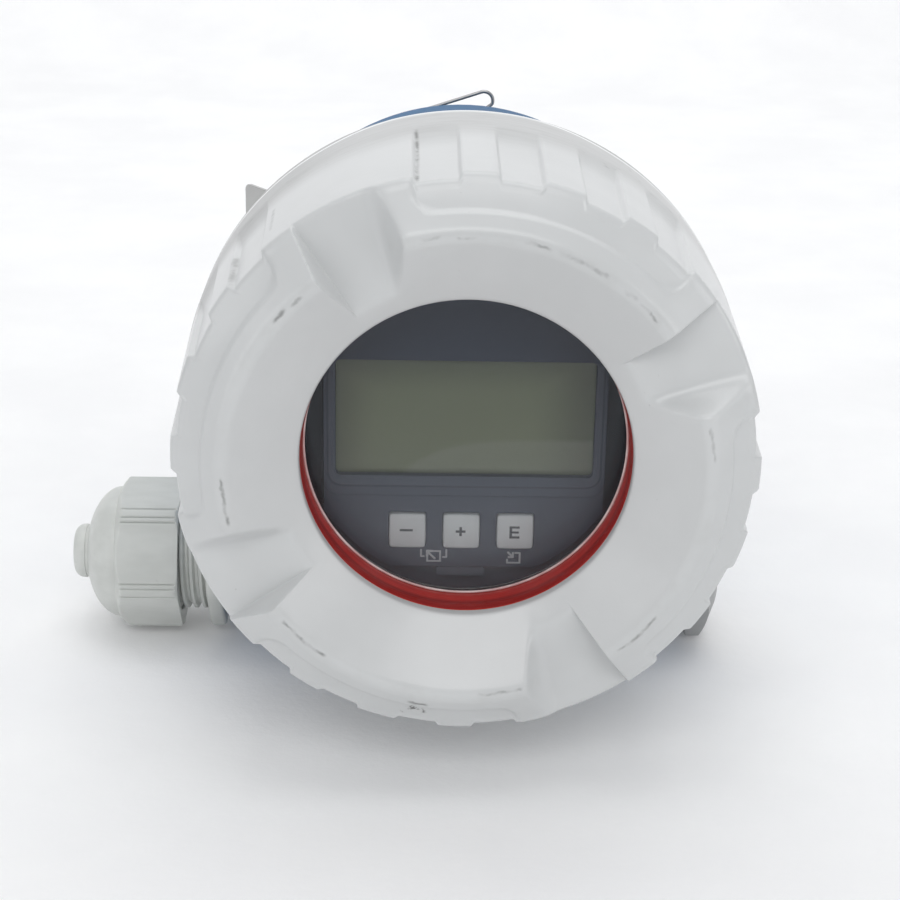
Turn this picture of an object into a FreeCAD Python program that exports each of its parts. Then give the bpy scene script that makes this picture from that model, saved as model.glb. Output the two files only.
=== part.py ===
import FreeCAD, Part
import math
import os

# Pressure transmitter with a display facing -Y and its process connection facing +Y.
# X runs to the right of the display and Z up; the origin is the centre of the process sealing face.
# A station is a distance along the main axis, counted backwards from the cover's shoulder plane.

# Display cover
ridge_radius = 43.5
ridge_rise = 3.0
ridge_land = 1.7
shoulder_radius = 52.5
shoulder_drop = 3.0
cover_rear_radius = 54.6
cover_length = 52.0
rear_band = 13.0
cover_thread_radius = 49.0
cover_thread_length = 13.5
cover_core_step = 2.0
o_ring_section = 1.1
o_ring_squeeze = 0.15
o_ring_seat = 4.0
rim_edge = 0.9
ridge_edge = 0.4
edge_break = 0.6

# Scooped notches and grip zones of the cover
notch_count = 4
notch_angle = 27.3
notch_width_angle = 18.5
notch_floor_inner = 2.4
notch_floor_outer = 4.8
notch_wall_foot = 0.90
notch_wall_top = 1.13
notch_scoop_inner = 0.46
notch_scoop_outer = 0.85
notch_scoop_width = 0.85
grip_half_angle = 29.4
groove_angle = 8.4
groove_depth = 1.1
grip_step_radius = 47.4
grip_step = 0.8

# Window
window_radius = 30.2
window_depth = 4.5
lip_thickness = 2.1
glass_setback = 10.0
glass_thickness = 4.0
glass_overlap = 4.6
seal_wall = 1.3
seal_flange = 2.0
glass_ring_thickness = 2.2
glass_ring_overlap = 0.9
glass_pocket_wall = 3.6
glass_pocket_reach = 1.5
glass_bevel = 0.4
face_depth = 1.5

# Display module
display_gap = 0.7
panel_radius = 31.3
panel_half_width = 26.6
panel_bottom = -28.0
bezel_thickness = 2.6
frame_step = 0.6
frame_bottom = -13.2
frame_corner = 3.0
lcd_width = 48.7
lcd_height = 22.9
lcd_centre_height = 2.25
lcd_recess = 1.6
lcd_margin = 1.2
lcd_thickness = 1.5
module_depth = 13.0
shell_wall = 1.5
board_thickness = 1.6
key_size = 7.0
key_corner = 0.6
key_pitch = 10.3
key_middle_offset = -0.35
key_height = -20.4
key_rise = 0.9
key_travel = 0.5
key_flange = 0.7
key_mat_thickness = 1.0
tab_width = 9.2
tab_height = 1.9
holder_radius = 42.6
holder_thickness = 3.0
foot_radius = 2.6
foot_inset = 4.0
pan_head_radius = 2.6
pan_head_height = 2.2
insert_room = 12.0
board_post_radius = 2.2
board_post_x = 17.0
board_post_height = 18.0

# Housing
flange_radius = 52.0
flange_width = 8.5
flange_edge = 1.5
bowl_front_radius = 50.0
bowl_waist_radius = 47.2
bowl_waist = 17.0
bowl_rear_radius = 46.2
bowl_round = 9.0
bowl_length = 49.0
chamber_radius = 43.5
chamber_depth = 22.0
core_radius = 33.0
chamber_floor = 6.0
neck_boss_radius = 22.0
neck_boss_length = 8.0
neck_boss_edge = 1.0
spigot_lead = 3.0
spigot_edge = 0.8
vent_radius = 3.0
vent_depth = 5.0
vent_head = 1.3
set_screw_radius = 2.0
ground_screw_radius = 2.0
ground_head_radius = 3.6
ground_lug_radius = 6.5
ground_lug_rise = 1.6
ground_lug_root = 4.0
ground_lift = 1.5
ground_clamp_size = 9.0
ground_depth = 5.0
ground_head_height = 2.6
ground_clamp_thickness = 1.2
lead_bore_radius = 6.0
vent_angle = -35.0

# Terminal compartment
terminal_setback = 21.2
terminal_root = 25.0
terminal_edge = 0.8
terminal_radius = 28.5
terminal_wall = 3.2
terminal_mouth = 60.0
terminal_ceiling = 37.0
terminal_thread_length = 5.8
terminal_land_depth = 2.6
terminal_land_step = 0.9
terminal_groove = 1.4
terminal_cover_thickness = 6.0
terminal_skirt = 3.4
terminal_block_height = 9.0
terminal_slot = 5.0
terminal_screw_radius = 2.0
terminal_screw_head = 1.4
terminal_lug_radius = 4.0
terminal_bore_step = 2.2
terminal_lug_count = 8

# Cable entries
entry_offset = 5.0
entry_drop = 10.8
entry_reach = 50.0
entry_boss_root = 12.0
entry_passage_root = 8.0
entry_edge = 1.2
entry_boss_radius = 14.5
entry_thread_radius = 10.0
entry_thread_depth = 16.0
entry_passage_radius = 5.5

# Cable gland
gasket_thickness = 0.6
gland_collar_flats = 29.0
gland_collar_length = 3.4
gland_thread_radius = 11.8
gland_thread_length = 13.0
gland_nut_flats = 30.0
gland_nut_gap = 6.1
gland_nut_length = 13.6
gland_nut_corner_radius = 16.6
gland_dome_length = 5.3
gland_dome_radius = 14.2
gland_view_angle = 21.0
gland_plug_radius = 5.9
gland_plug_reach = 5.0
gland_groove = 0.45
gland_groove_angle = 4.2
gland_bore_radius = 7.0
gland_insert_wall = 2.2
gland_insert_depth = 8.0
gland_nut_clearance = 1.0
gland_plug_round = 2.0

# Blind plug
blind_head_flats = 30.0
blind_head_length = 6.2
blind_head_taper = 2.8
blind_head_face_radius = 10.6
blind_thread_length = 12.0

# Neck and process connection
neck_radius = 15.0
neck_engagement = 14.0
neck_o_ring_section = 0.8
neck_length = 8.0
collar_radius = 21.0
collar_length = 5.0
process_flats = 36.0
process_hex_length = 16.0
sealing_collar_radius = 13.5
sealing_collar_length = 3.0
process_thread_radius = 10.48
process_thread_length = 20.0
process_thread_chamfer = 1.0
process_tip_radius = 3.0
process_tip_length = 3.0
process_port_radius = 1.5

# Tag on its wire
tag_width = 17.5
tag_drop = 36.0
tag_thickness = 0.8
tag_corner = 1.6
tag_hole_radius = 1.5
tag_hole_inset = 4.0
wire_loop_height = 46.2
wire_loop_offset = 7.0
wire_loop_round = 2.0
wire_turn_drop = 3.5
wire_turn_round = 1.0
wire_knee_offset = 1.0
wire_knee_drop = 7.7
wire_knee_round = 4.0
tag_corner_x = -49.3
tag_corner_behind = 16.7
tag_top = 22.5
tag_turn = 54.0
wire_radius = 0.4
wire_gap = 0.9
wire_tail = 15.0
wire_crest_offset = 14.0
wire_crest_drop = 7.0
wire_crest_round = 9.0
ferrule_radius = 1.2
ferrule_length = 6.0

# Fits
run_fit = 0.1
slip = 0.3
seat = 0.05

UP = FreeCAD.Vector(0, 0, 1)
BACK = FreeCAD.Vector(0, 1, 0)
DOWN = FreeCAD.Vector(0, 0, -1)
LEFT = FreeCAD.Vector(-1, 0, 0)
RIGHT = FreeCAD.Vector(1, 0, 0)

# Stations along the main axis
rim_station = window_depth
lip_station = rim_station + lip_thickness
glass_station = rim_station + glass_setback
glass_back = glass_station + glass_thickness
glass_ring_back = glass_back + glass_ring_thickness
frame_station = glass_ring_back + display_gap
panel_station = frame_station + frame_step
lcd_station = frame_station + lcd_recess
bezel_back = panel_station + bezel_thickness
module_back = frame_station + module_depth
spigot_front = cover_length - cover_thread_length - spigot_lead
flange_front = cover_length + slip
flange_back = flange_front + flange_width
bowl_back = flange_back + bowl_length
boss_back = bowl_back + neck_boss_length
terminal_station = flange_back + terminal_setback
entry_station = terminal_station - entry_offset
entry_height = entry_drop - terminal_mouth
collar_front = boss_back + neck_length
hex_front = collar_front + collar_length
hex_back = hex_front + process_hex_length
process_station = hex_back + sealing_collar_length

FRONT = FreeCAD.Vector(0, -process_station, 0)
spigot_radius = cover_thread_radius - run_fit
o_ring_radius = spigot_radius + o_ring_squeeze + o_ring_section
o_ring_land = o_ring_radius + o_ring_section + seat
glass_radius = window_radius + glass_overlap
glass_pocket = glass_radius + slip


def closed_wire(entries):
    """Closed wire in the XZ plane from (x, z) points; a pair of points is an arc's middle and end."""
    start = entries[0]
    edges = []
    here = start
    for entry in entries[1:] + [start]:
        is_arc = isinstance(entry[0], tuple)
        there = entry[1] if is_arc else entry
        if not is_arc and math.dist(here, there) < 1e-6:
            continue
        a = FreeCAD.Vector(here[0], 0, here[1])
        b = FreeCAD.Vector(there[0], 0, there[1])
        if is_arc:
            middle = FreeCAD.Vector(entry[0][0], 0, entry[0][1])
            edges.append(Part.Arc(a, middle, b).toShape())
        else:
            edges.append(Part.LineSegment(a, b).toShape())
        here = there
    return Part.Wire(edges)


def turned(entries, sweep=360.0, start=0.0):
    """Revolve a (radius, station) outline about local Z, through a sweep that begins at an angle."""
    face = Part.Face(closed_wire(entries))
    solid = face.revolve(FreeCAD.Vector(), UP, sweep)
    solid.rotate(FreeCAD.Vector(), UP, start)
    return solid


def tube(inner, outer, first, last):
    """Plain ring or, with an inner radius of zero, a plain disc between two stations."""
    return turned([(inner, first), (outer, first), (outer, last), (inner, last)])


def torus(radius, section, station):
    """O-ring of a mean radius and a section radius."""
    return Part.makeTorus(radius, section, FreeCAD.Vector(0, 0, station), UP)


def hexagon(flats, first, last, turn=0.0):
    """Hexagonal prism along local Z; turn is the direction of one flat's normal."""
    corner_radius = flats / math.sqrt(3.0)
    points = []
    for index in range(7):
        angle = math.radians(turn + 30.0 + 60.0 * index)
        across = corner_radius * math.cos(angle)
        points.append(FreeCAD.Vector(across, corner_radius * math.sin(angle), first))
    return Part.Face(Part.makePolygon(points)).extrude(FreeCAD.Vector(0, 0, last - first))


def chamfered_hexagon(flats, first, last, chamfer, turn=0.0):
    """Hexagonal prism whose corners are turned down by a cone at both ends."""
    corner_radius = flats / math.sqrt(3.0)
    barrel = turned([(0, first), (corner_radius - 2 * chamfer, first), (corner_radius, first + chamfer),
                     (corner_radius, last - chamfer), (corner_radius - 2 * chamfer, last), (0, last)])
    return hexagon(flats, first, last, turn).common(barrel)


def placed(shape, base, direction):
    """Carry a shape from local Z to a base point and direction."""
    turn = FreeCAD.Placement(base, FreeCAD.Rotation(UP, direction))
    shape.Placement = turn.multiply(shape.Placement)
    return shape


def on_axis(shape):
    """Place a shape made in stations on the main axis."""
    return placed(shape, FRONT, BACK)


def block(x_first, x_last, z_first, z_last, first, last, corner=0.0):
    """Upright plate between two stations, with its four long edges rounded."""
    width = x_last - x_first
    height = z_last - z_first
    origin = FreeCAD.Vector(x_first, first - process_station, z_first)
    shape = Part.makeBox(width, last - first, height, origin)
    if corner > 0:
        along = [edge for edge in shape.Edges if abs(edge.tangentAt(edge.FirstParameter).y) > 0.99]
        shape = shape.makeFillet(corner, along)
    return shape


def minus(shape, cutters):
    """Cut several tools from one shape."""
    return shape.cut(cutters)


def shoulder_at(radius):
    """Station of the plain shoulder, a straight fall from the ridge's land to the outer edge."""
    share = (radius - ridge_radius - ridge_land) / (shoulder_radius - ridge_radius - ridge_land)
    return -ridge_rise + ridge_edge + share * (shoulder_drop + ridge_rise - ridge_edge)


def side_radius(station):
    """Outer radius of the cover's drafted side wall at a station."""
    share = (station - shoulder_drop) / (cover_length - rear_band - shoulder_drop)
    return shoulder_radius + share * (cover_rear_radius - shoulder_radius)


def notch_section(radius):
    """Outline across a notch at a radius: steep wall, flat floor, scoop that rises to the other side."""
    half = math.radians(notch_width_angle) / 2
    share = (radius - window_radius) / (cover_rear_radius - window_radius)
    floor = notch_floor_inner + share * (notch_floor_outer - notch_floor_inner)
    top = -ridge_rise - 4.0
    rise = floor - top
    foot = notch_scoop_inner + share * (notch_scoop_outer - notch_scoop_inner)
    across = [-notch_wall_top, -notch_wall_foot, foot, foot + 0.53 * notch_scoop_width, foot + notch_scoop_width]
    depth = [top, floor, floor, floor - 0.25 * rise, top]
    points = [FreeCAD.Vector(radius, radius * math.tan(half * a), d) for a, d in zip(across, depth)]
    edges = [Part.LineSegment(points[0], points[1]).toShape(),
             Part.LineSegment(points[1], points[2]).toShape(),
             Part.Arc(points[2], points[3], points[4]).toShape(),
             Part.LineSegment(points[4], points[0]).toShape()]
    return Part.Wire(edges)


def notch_cutters():
    """Wedge-shaped tools that scoop the notches out of the ridge."""
    inner = notch_section(window_radius - 4.0)
    outer = notch_section(cover_rear_radius + 6.0)
    cutters = []
    for index in range(notch_count):
        cutter = Part.makeLoft([inner, outer], True, True)
        cutter.rotate(FreeCAD.Vector(), UP, -(notch_angle + 360.0 / notch_count * index))
        cutters.append(cutter)
    return cutters


def grip_cutters():
    """Grooves of the side wall and the step of the shoulder in each grip zone."""
    groove_end = cover_length - rear_band
    outside = cover_rear_radius + 6.0
    ahead = -ridge_rise - 4.0
    groove = [(side_radius(shoulder_drop) - groove_depth, ahead),
              (side_radius(shoulder_drop) - groove_depth, shoulder_drop),
              (side_radius(groove_end) - groove_depth, groove_end - groove_depth),
              (side_radius(groove_end) + 0.2, groove_end + 0.2), (outside, groove_end + 0.2), (outside, ahead)]
    step_edge = shoulder_at(grip_step_radius) + grip_step
    step = [(grip_step_radius, ahead), (grip_step_radius, step_edge),
            (shoulder_radius + 0.6, shoulder_drop + 1.6 * grip_step + 0.6), (outside, shoulder_drop + 3.0),
            (outside, ahead)]
    cutters = []
    for index in range(notch_count):
        middle = -(notch_angle + 360.0 / notch_count * (index + 0.5))
        cutters.append(turned(step, 2 * grip_half_angle, middle - grip_half_angle))
        for side in (-1.5, -0.5, 0.5, 1.5):
            centre = middle + 2 * groove_angle * side
            cutters.append(turned(groove, groove_angle, centre - groove_angle / 2))
    return cutters


def display_cover():
    """Cast screw cover: dished face, ridge, drafted side, threaded skirt and glass pocket."""
    land = ridge_radius + ridge_land
    fall = ridge_radius - ridge_land
    pocket_wall = glass_pocket + glass_pocket_wall
    pocket_back = glass_ring_back + glass_pocket_reach
    core_outer = cover_thread_radius - cover_core_step
    core_front = window_depth + face_depth
    thread_front = spigot_front - spigot_lead / 2
    seat_front = cover_length - o_ring_seat
    band = cover_length - rear_band
    entries = [(window_radius, lip_station), (window_radius, rim_station + rim_edge),
               ((window_radius + 0.27 * rim_edge, rim_station + 0.27 * rim_edge),
                (window_radius + rim_edge, rim_station - 0.3 * rim_edge)),
               (fall, -ridge_rise + ridge_edge),
               ((ridge_radius, -ridge_rise), (land, -ridge_rise + ridge_edge)),
               (shoulder_radius - 1.0, shoulder_at(shoulder_radius - 1.0)),
               ((shoulder_radius - 0.2, shoulder_drop - 0.2), (shoulder_radius + 0.05, shoulder_drop + 1.2)),
               (cover_rear_radius, band), (cover_rear_radius, cover_length - edge_break),
               (cover_rear_radius - edge_break, cover_length), (o_ring_land, cover_length),
               (o_ring_land, seat_front), (cover_thread_radius, seat_front),
               (cover_thread_radius, thread_front), (core_outer, thread_front),
               (core_outer, core_front + cover_core_step), (core_outer - cover_core_step, core_front),
               (pocket_wall + 1.0, core_front), (pocket_wall, core_front + 1.0),
               (pocket_wall, pocket_back), (glass_pocket, pocket_back),
               (glass_pocket, glass_station - seal_flange),
               (window_radius + seal_wall + seat, glass_station - seal_flange),
               (window_radius + seal_wall + seat, lip_station)]
    return on_axis(minus(turned(entries), notch_cutters() + grip_cutters()))


def window_seal():
    """Red lining of the window: a swelling sleeve with a flange under the glass."""
    sleeve = window_radius + seal_wall
    middle = (lip_station + glass_station) / 2
    return on_axis(turned([(window_radius, lip_station), (sleeve, lip_station),
                           (sleeve, glass_station - seal_flange), (glass_radius, glass_station - seal_flange),
                           (glass_radius, glass_station), (window_radius, glass_station),
                           ((window_radius - 0.25, middle), (window_radius, lip_station))]))


def window_glass():
    """Round sight glass with ground edges."""
    return on_axis(turned([(0, glass_station), (glass_radius - glass_bevel, glass_station),
                           (glass_radius, glass_station + glass_bevel),
                           (glass_radius, glass_back - glass_bevel),
                           (glass_radius - glass_bevel, glass_back), (0, glass_back)]))


def glass_ring():
    """Ring behind the glass; its bore opens towards the back, with slots for a pin spanner."""
    lip = window_radius + glass_ring_overlap
    outer = glass_pocket - run_fit
    flare = lip + 1.2 * glass_ring_thickness
    ring = turned([(lip, glass_back), (outer, glass_back), (outer, glass_ring_back), (flare, glass_ring_back),
                   (lip, glass_back + 0.3)])
    slots = []
    for angle in (0.0, 180.0):
        slot = Part.makeBox(outer, 3.0, 1.0, FreeCAD.Vector(flare - 1.0, -1.5, glass_ring_back - 1.0))
        slot.rotate(FreeCAD.Vector(), UP, angle)
        slots.append(slot)
    return on_axis(minus(ring, slots))


def cover_o_ring():
    """Seal between the cover's skirt and the housing spigot."""
    station = cover_length - o_ring_seat + o_ring_section + slip
    return on_axis(torus(o_ring_radius, o_ring_section, station))


def panel_prism(first, last, inset=0.0):
    """Outline of the display module: a disc cut straight at its sides and at its foot."""
    disc = on_axis(tube(0, panel_radius - inset, first, last))
    half = panel_half_width - inset
    return disc.common(block(-half, half, panel_bottom + inset, -panel_bottom - inset, first, last))


def key_centres():
    """Positions of the three keys across the display."""
    return [key_middle_offset + key_pitch * step for step in (-1, 0, 1)]


def key_block(centre, size, first, last, corner):
    """Square prism about a key's centre."""
    half = size / 2
    return block(centre - half, centre + half, key_height - half, key_height + half, first, last, corner)


def lcd_block(margin, first, last, corner):
    """Upright plate about the display panel's centre, grown by a margin all round."""
    half_width = lcd_width / 2 + margin
    half_height = lcd_height / 2 + margin
    low = lcd_centre_height - half_height
    high = lcd_centre_height + half_height
    return block(-half_width, half_width, low, high, first, last, corner)


def display_bezel():
    """Moulded front: raised frame round the panel, lower key field, holes for the keys."""
    frame = panel_prism(frame_station, panel_station + 0.2)
    raised = block(-panel_half_width, panel_half_width, frame_bottom, panel_radius, frame_station,
                   panel_station + 0.2, frame_corner)
    body = panel_prism(panel_station, bezel_back).fuse(frame.common(raised))
    cutters = [lcd_block(0.0, frame_station - 1.0, bezel_back + 1.0, 1.0),
               lcd_block(lcd_margin + seat, lcd_station, bezel_back + 1.0, 0.0)]
    for centre in key_centres():
        hole = key_block(centre, key_size + 2 * run_fit, frame_station - 1.0, bezel_back + 1.0, key_corner)
        cutters.append(hole)
    return minus(body, cutters).removeSplitter()


def lcd_panel():
    """Display panel seated behind the bezel's opening."""
    return lcd_block(lcd_margin, lcd_station, lcd_station + lcd_thickness, 0.0)


def key(centre):
    """Push key with a flange that the bezel holds back."""
    cap = key_block(centre, key_size, panel_station - key_rise, bezel_back + seat, key_corner)
    flange = key_block(centre, key_size + 2.0, bezel_back + seat, bezel_back + seat + key_flange, key_corner)
    return cap.fuse(flange).removeSplitter()


def key_mat_front():
    """Station of the rubber mat's face, clear of the keys' travel."""
    return bezel_back + seat + key_flange + key_travel + run_fit


def key_mat():
    """Rubber mat with one dome pad behind each key."""
    reach = key_pitch + key_size / 2 + 1.5
    first = key_mat_front()
    return block(key_middle_offset - reach, key_middle_offset + reach, key_height - key_size / 2 - 1.5,
                 key_height + key_size / 2 + 1.5, first, first + key_mat_thickness, 1.0)


def board_station():
    """Front face of the display's circuit board."""
    return key_mat_front() + key_mat_thickness


def display_board():
    """Circuit board behind the panel and the key mat."""
    first = board_station()
    return panel_prism(first, first + board_thickness, shell_wall + slip)


def display_shell():
    """Back shell of the module, closed behind and open to the bezel."""
    shell = panel_prism(bezel_back, module_back)
    hollow = panel_prism(bezel_back - 1.0, module_back - shell_wall, shell_wall)
    pads = []
    for side in (-1, 1):
        for height in (-board_post_height, board_post_height):
            pad = tube(0, board_post_radius, board_station() + board_thickness, module_back - 0.5 * shell_wall)
            pad.translate(FreeCAD.Vector(side * board_post_x, height, 0))
            pads.append(on_axis(pad))
    return minus(shell, [hollow]).fuse(pads).removeSplitter()


def holder_station():
    """Front face of the display holder's ring, behind the bezel."""
    return bezel_back + 1.0


def foot_circle():
    """Radius of the circle on which the holder's feet and the insert's screws stand."""
    return holder_radius - foot_inset


def insert_front():
    """Front face of the potted electronics, on which the display module sits."""
    return module_back


def display_holder():
    """Carrier round the module: a ring on three feet, with the release tab under the module."""
    front = holder_station()
    bore = panel_prism(front - 1.0, front + holder_thickness + 1.0, -slip)
    ring = minus(on_axis(tube(0, holder_radius, front, front + holder_thickness)), [bore])
    feet = []
    for angle in (30.0, 150.0, 270.0):
        turn = math.radians(angle)
        foot = tube(0, foot_radius, front + 1.0, insert_front())
        foot.translate(FreeCAD.Vector(foot_circle() * math.cos(turn), foot_circle() * math.sin(turn), 0))
        feet.append(on_axis(foot))
    low = panel_bottom - slip
    tab = block(key_middle_offset - tab_width / 2, key_middle_offset + tab_width / 2, low - tab_height, low,
                panel_station + 0.6, front + 1.5, 0.5)
    return ring.fuse(feet + [tab]).removeSplitter()


def chamber_back():
    """Station where the wide front chamber of the housing ends."""
    return spigot_front + chamber_depth


def core_back():
    """Station where the narrow rear chamber of the housing ends."""
    return bowl_back - chamber_floor


def electronics_insert():
    """Potted electronics: a wide drum in the front chamber and a narrow one behind it."""
    wide = chamber_radius - slip
    narrow = core_radius - slip
    step = chamber_back() - slip
    return on_axis(turned([(0, insert_front()), (wide, insert_front()), (wide, step), (narrow, step),
                           (narrow, core_back() - insert_room), (0, core_back() - insert_room)]))


def insert_screws():
    """Two pan head screws at the edge of the electronics insert."""
    top = insert_front() - pan_head_height
    screws = []
    for side in (-1, 1):
        head = turned([(0, top), (pan_head_radius - 1.0, top), (pan_head_radius, top + 1.0),
                       (pan_head_radius, insert_front()), (0, insert_front())])
        slot = Part.makeBox(3 * pan_head_radius, 0.7, 0.8, FreeCAD.Vector(-1.5 * pan_head_radius, -0.35, top))
        screw = head.cut(slot)
        screw.translate(FreeCAD.Vector(side * foot_circle(), 0, 0))
        screws.append(on_axis(screw))
    return Part.makeCompound(screws)


def terminal_base(drop):
    """Point on the terminal compartment's axis, a distance below the main axis."""
    return FreeCAD.Vector(0, terminal_station - process_station, -drop)


def entry_base(side):
    """Centre of a cable entry's sealing face."""
    return FreeCAD.Vector(side * entry_reach, entry_station - process_station, entry_height)


def terminal_bore():
    """Bore radius of the terminal compartment."""
    return terminal_radius - terminal_wall - terminal_bore_step


def terminal_thread():
    """Bore radius of the terminal cover's thread."""
    return terminal_radius - terminal_wall


def terminal_land():
    """Bore radius of the terminal cover's O-ring land."""
    return terminal_thread() + terminal_land_step


def housing_body():
    """Cast housing: threaded spigot, flange, bowl, terminal compartment, cable entries, neck boss."""
    waist = flange_back + bowl_waist
    rear = bowl_back - bowl_round
    outer = turned([(0, spigot_front), (spigot_radius - spigot_edge, spigot_front),
                    (spigot_radius, spigot_front + spigot_edge),
                    (spigot_radius, flange_front), (flange_radius, flange_front),
                    (flange_radius, flange_back - flange_edge), (flange_radius - flange_edge, flange_back),
                    (bowl_front_radius, flange_back), (bowl_waist_radius, waist), (bowl_rear_radius, rear),
                    ((bowl_rear_radius - 0.29 * bowl_round, bowl_back - 0.29 * bowl_round),
                     (bowl_rear_radius - bowl_round, bowl_back)),
                    (neck_boss_radius, bowl_back), (neck_boss_radius, boss_back - neck_boss_edge),
                    (neck_boss_radius - neck_boss_edge, boss_back), (0, boss_back)])
    body = on_axis(outer)
    drum = turned([(0, terminal_root), (terminal_radius, terminal_root),
                   (terminal_radius, terminal_mouth - terminal_edge),
                   (terminal_radius - terminal_edge, terminal_mouth), (0, terminal_mouth)])
    solids = [placed(drum, terminal_base(0), DOWN)]
    for side, direction in ((-1, LEFT), (1, RIGHT)):
        root = entry_boss_root - entry_reach
        boss = turned([(0, root), (entry_boss_radius, root), (entry_boss_radius, -entry_edge),
                       (entry_boss_radius - entry_edge, 0), (0, 0)])
        solids.append(placed(boss, entry_base(side), direction))
    lug = tube(0, ground_lug_radius, terminal_radius - ground_lug_root, terminal_radius + ground_lug_rise)
    solids.append(placed(lug, ground_base(), BACK))
    body = body.fuse(solids)

    chamber = turned([(0, spigot_front - 1.0), (chamber_radius, spigot_front - 1.0),
                      (chamber_radius, chamber_back()), (core_radius, chamber_back()),
                      (core_radius, core_back()), (0, core_back())])
    neck_bore = tube(0, neck_radius + seat, core_back() - 1.0, boss_back + 1.0)
    compartment = turned([(0, terminal_ceiling), (terminal_bore(), terminal_ceiling),
                          (terminal_bore(), terminal_mouth - terminal_land_depth - terminal_thread_length),
                          (terminal_thread(), terminal_mouth - terminal_land_depth - terminal_thread_length),
                          (terminal_thread(), terminal_mouth - terminal_land_depth),
                          (terminal_land(), terminal_mouth - terminal_land_depth),
                          (terminal_land(), terminal_mouth + 1.0), (0, terminal_mouth + 1.0)])
    cover_room = tube(0, terminal_radius + slip, terminal_mouth, terminal_mouth + entry_boss_radius)
    cutters = [on_axis(chamber), on_axis(neck_bore), placed(compartment, terminal_base(0), DOWN),
               placed(cover_room, terminal_base(0), DOWN)]
    for side, direction in ((-1, LEFT), (1, RIGHT)):
        root = entry_passage_root - entry_reach
        entry = turned([(0, root), (entry_passage_radius, root),
                        (entry_passage_radius, -entry_thread_depth), (entry_thread_radius, -entry_thread_depth),
                        (entry_thread_radius, 1.0), (0, 1.0)])
        cutters.append(placed(entry, entry_base(side), direction))
    earth_hole = tube(0, ground_screw_radius + run_fit, ground_face() - ground_depth - 1.0, ground_face() + 1.0)
    cutters.append(placed(earth_hole, ground_base(), BACK))
    cutters.append(placed(tube(0, vent_radius, -vent_depth - 1.0, 1.0), vent_base(), BACK))
    set_hole = tube(0, set_screw_radius, neck_radius - neck_boss_radius - 1.0, 1.0)
    cutters.append(placed(set_hole, set_screw_base(), UP))
    return minus(body, cutters).removeSplitter()


def ground_base():
    """Point of the terminal axis level with the earth terminal behind the compartment."""
    return terminal_base((terminal_ceiling + terminal_mouth) / 2 - ground_lift)


def ground_face():
    """Distance of the earth lug's face from the terminal axis."""
    return terminal_radius + ground_lug_rise


def vent_base():
    """Centre of the vent plug's seat on the housing's rear wall."""
    reach = (neck_boss_radius + bowl_rear_radius - bowl_round) / 2
    angle = math.radians(vent_angle)
    return FRONT + BACK * bowl_back + FreeCAD.Vector(reach * math.cos(angle), 0, reach * math.sin(angle))


def set_screw_base():
    """Mouth of the set screw's hole on top of the neck boss."""
    return FRONT + BACK * (bowl_back + neck_boss_length / 2) + UP * neck_boss_radius


def terminal_block():
    """Moulded connection block under the compartment's ceiling."""
    half_length = terminal_bore() * 0.62
    half_width = terminal_bore() * 0.42
    first = terminal_station - half_width
    foot = -terminal_ceiling - terminal_block_height
    base = Part.makeBox(2 * half_length, 2 * half_width, terminal_block_height,
                        FreeCAD.Vector(-half_length, first - process_station, foot))
    slots = []
    for index in range(3):
        centre = half_length * (index - 1) * 0.62
        corner = FreeCAD.Vector(centre - terminal_slot / 2, first - process_station - 1.0, foot + 1.0)
        slots.append(Part.makeBox(terminal_slot, terminal_slot + 1.0, terminal_slot, corner))
    return minus(base, slots)


def terminal_screws():
    """Clamp screws on the face of the connection block."""
    half_length = terminal_bore() * 0.62
    face = terminal_ceiling + terminal_block_height
    screws = []
    for index in range(3):
        centre = half_length * (index - 1) * 0.62
        head = tube(0, terminal_screw_radius, face, face + terminal_screw_head)
        slot = Part.makeBox(3 * terminal_screw_radius, 0.6, terminal_screw_head,
                            FreeCAD.Vector(-1.5 * terminal_screw_radius, -0.3, face + terminal_screw_head / 2))
        screw = head.cut(slot)
        screw.translate(FreeCAD.Vector(centre, terminal_screw_radius, 0))
        screws.append(placed(screw, terminal_base(0), DOWN))
    return Part.makeCompound(screws)


def terminal_cover():
    """Screw cover of the terminal compartment, with grip flats round its edge; the part stands on it."""
    mouth = terminal_mouth + slip
    bottom = mouth + terminal_cover_thickness
    thread = terminal_thread() - run_fit
    groove = terminal_thread() - terminal_groove
    top = terminal_mouth - terminal_land_depth - terminal_thread_length + 2 * slip
    inside = thread - terminal_skirt
    ceiling = bottom - terminal_cover_thickness / 2
    land = mouth - terminal_land_depth
    cover = turned([(0, ceiling), (inside, ceiling), (inside, top), (thread, top), (thread, land),
                    (groove, land), (groove, mouth), (terminal_radius, mouth),
                    (terminal_radius, bottom - 1.2), (terminal_radius - 1.2, bottom), (0, bottom)])
    flats = []
    for index in range(terminal_lug_count):
        notch = tube(0, terminal_lug_radius, mouth + terminal_lug_radius * 0.4, bottom + 1.0)
        notch.translate(FreeCAD.Vector(terminal_radius + terminal_lug_radius * 0.55, 0, 0))
        notch.rotate(FreeCAD.Vector(), UP, 360.0 / terminal_lug_count * (index + 0.5))
        flats.append(notch)
    return placed(minus(cover, flats), terminal_base(0), DOWN)


def terminal_cover_o_ring():
    """Seal in the groove under the terminal cover's flange."""
    section = (terminal_land_step + terminal_groove) / 2 - seat
    ring = torus(terminal_land() - section - seat, section, terminal_mouth - section)
    return placed(ring, terminal_base(0), DOWN)


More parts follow.
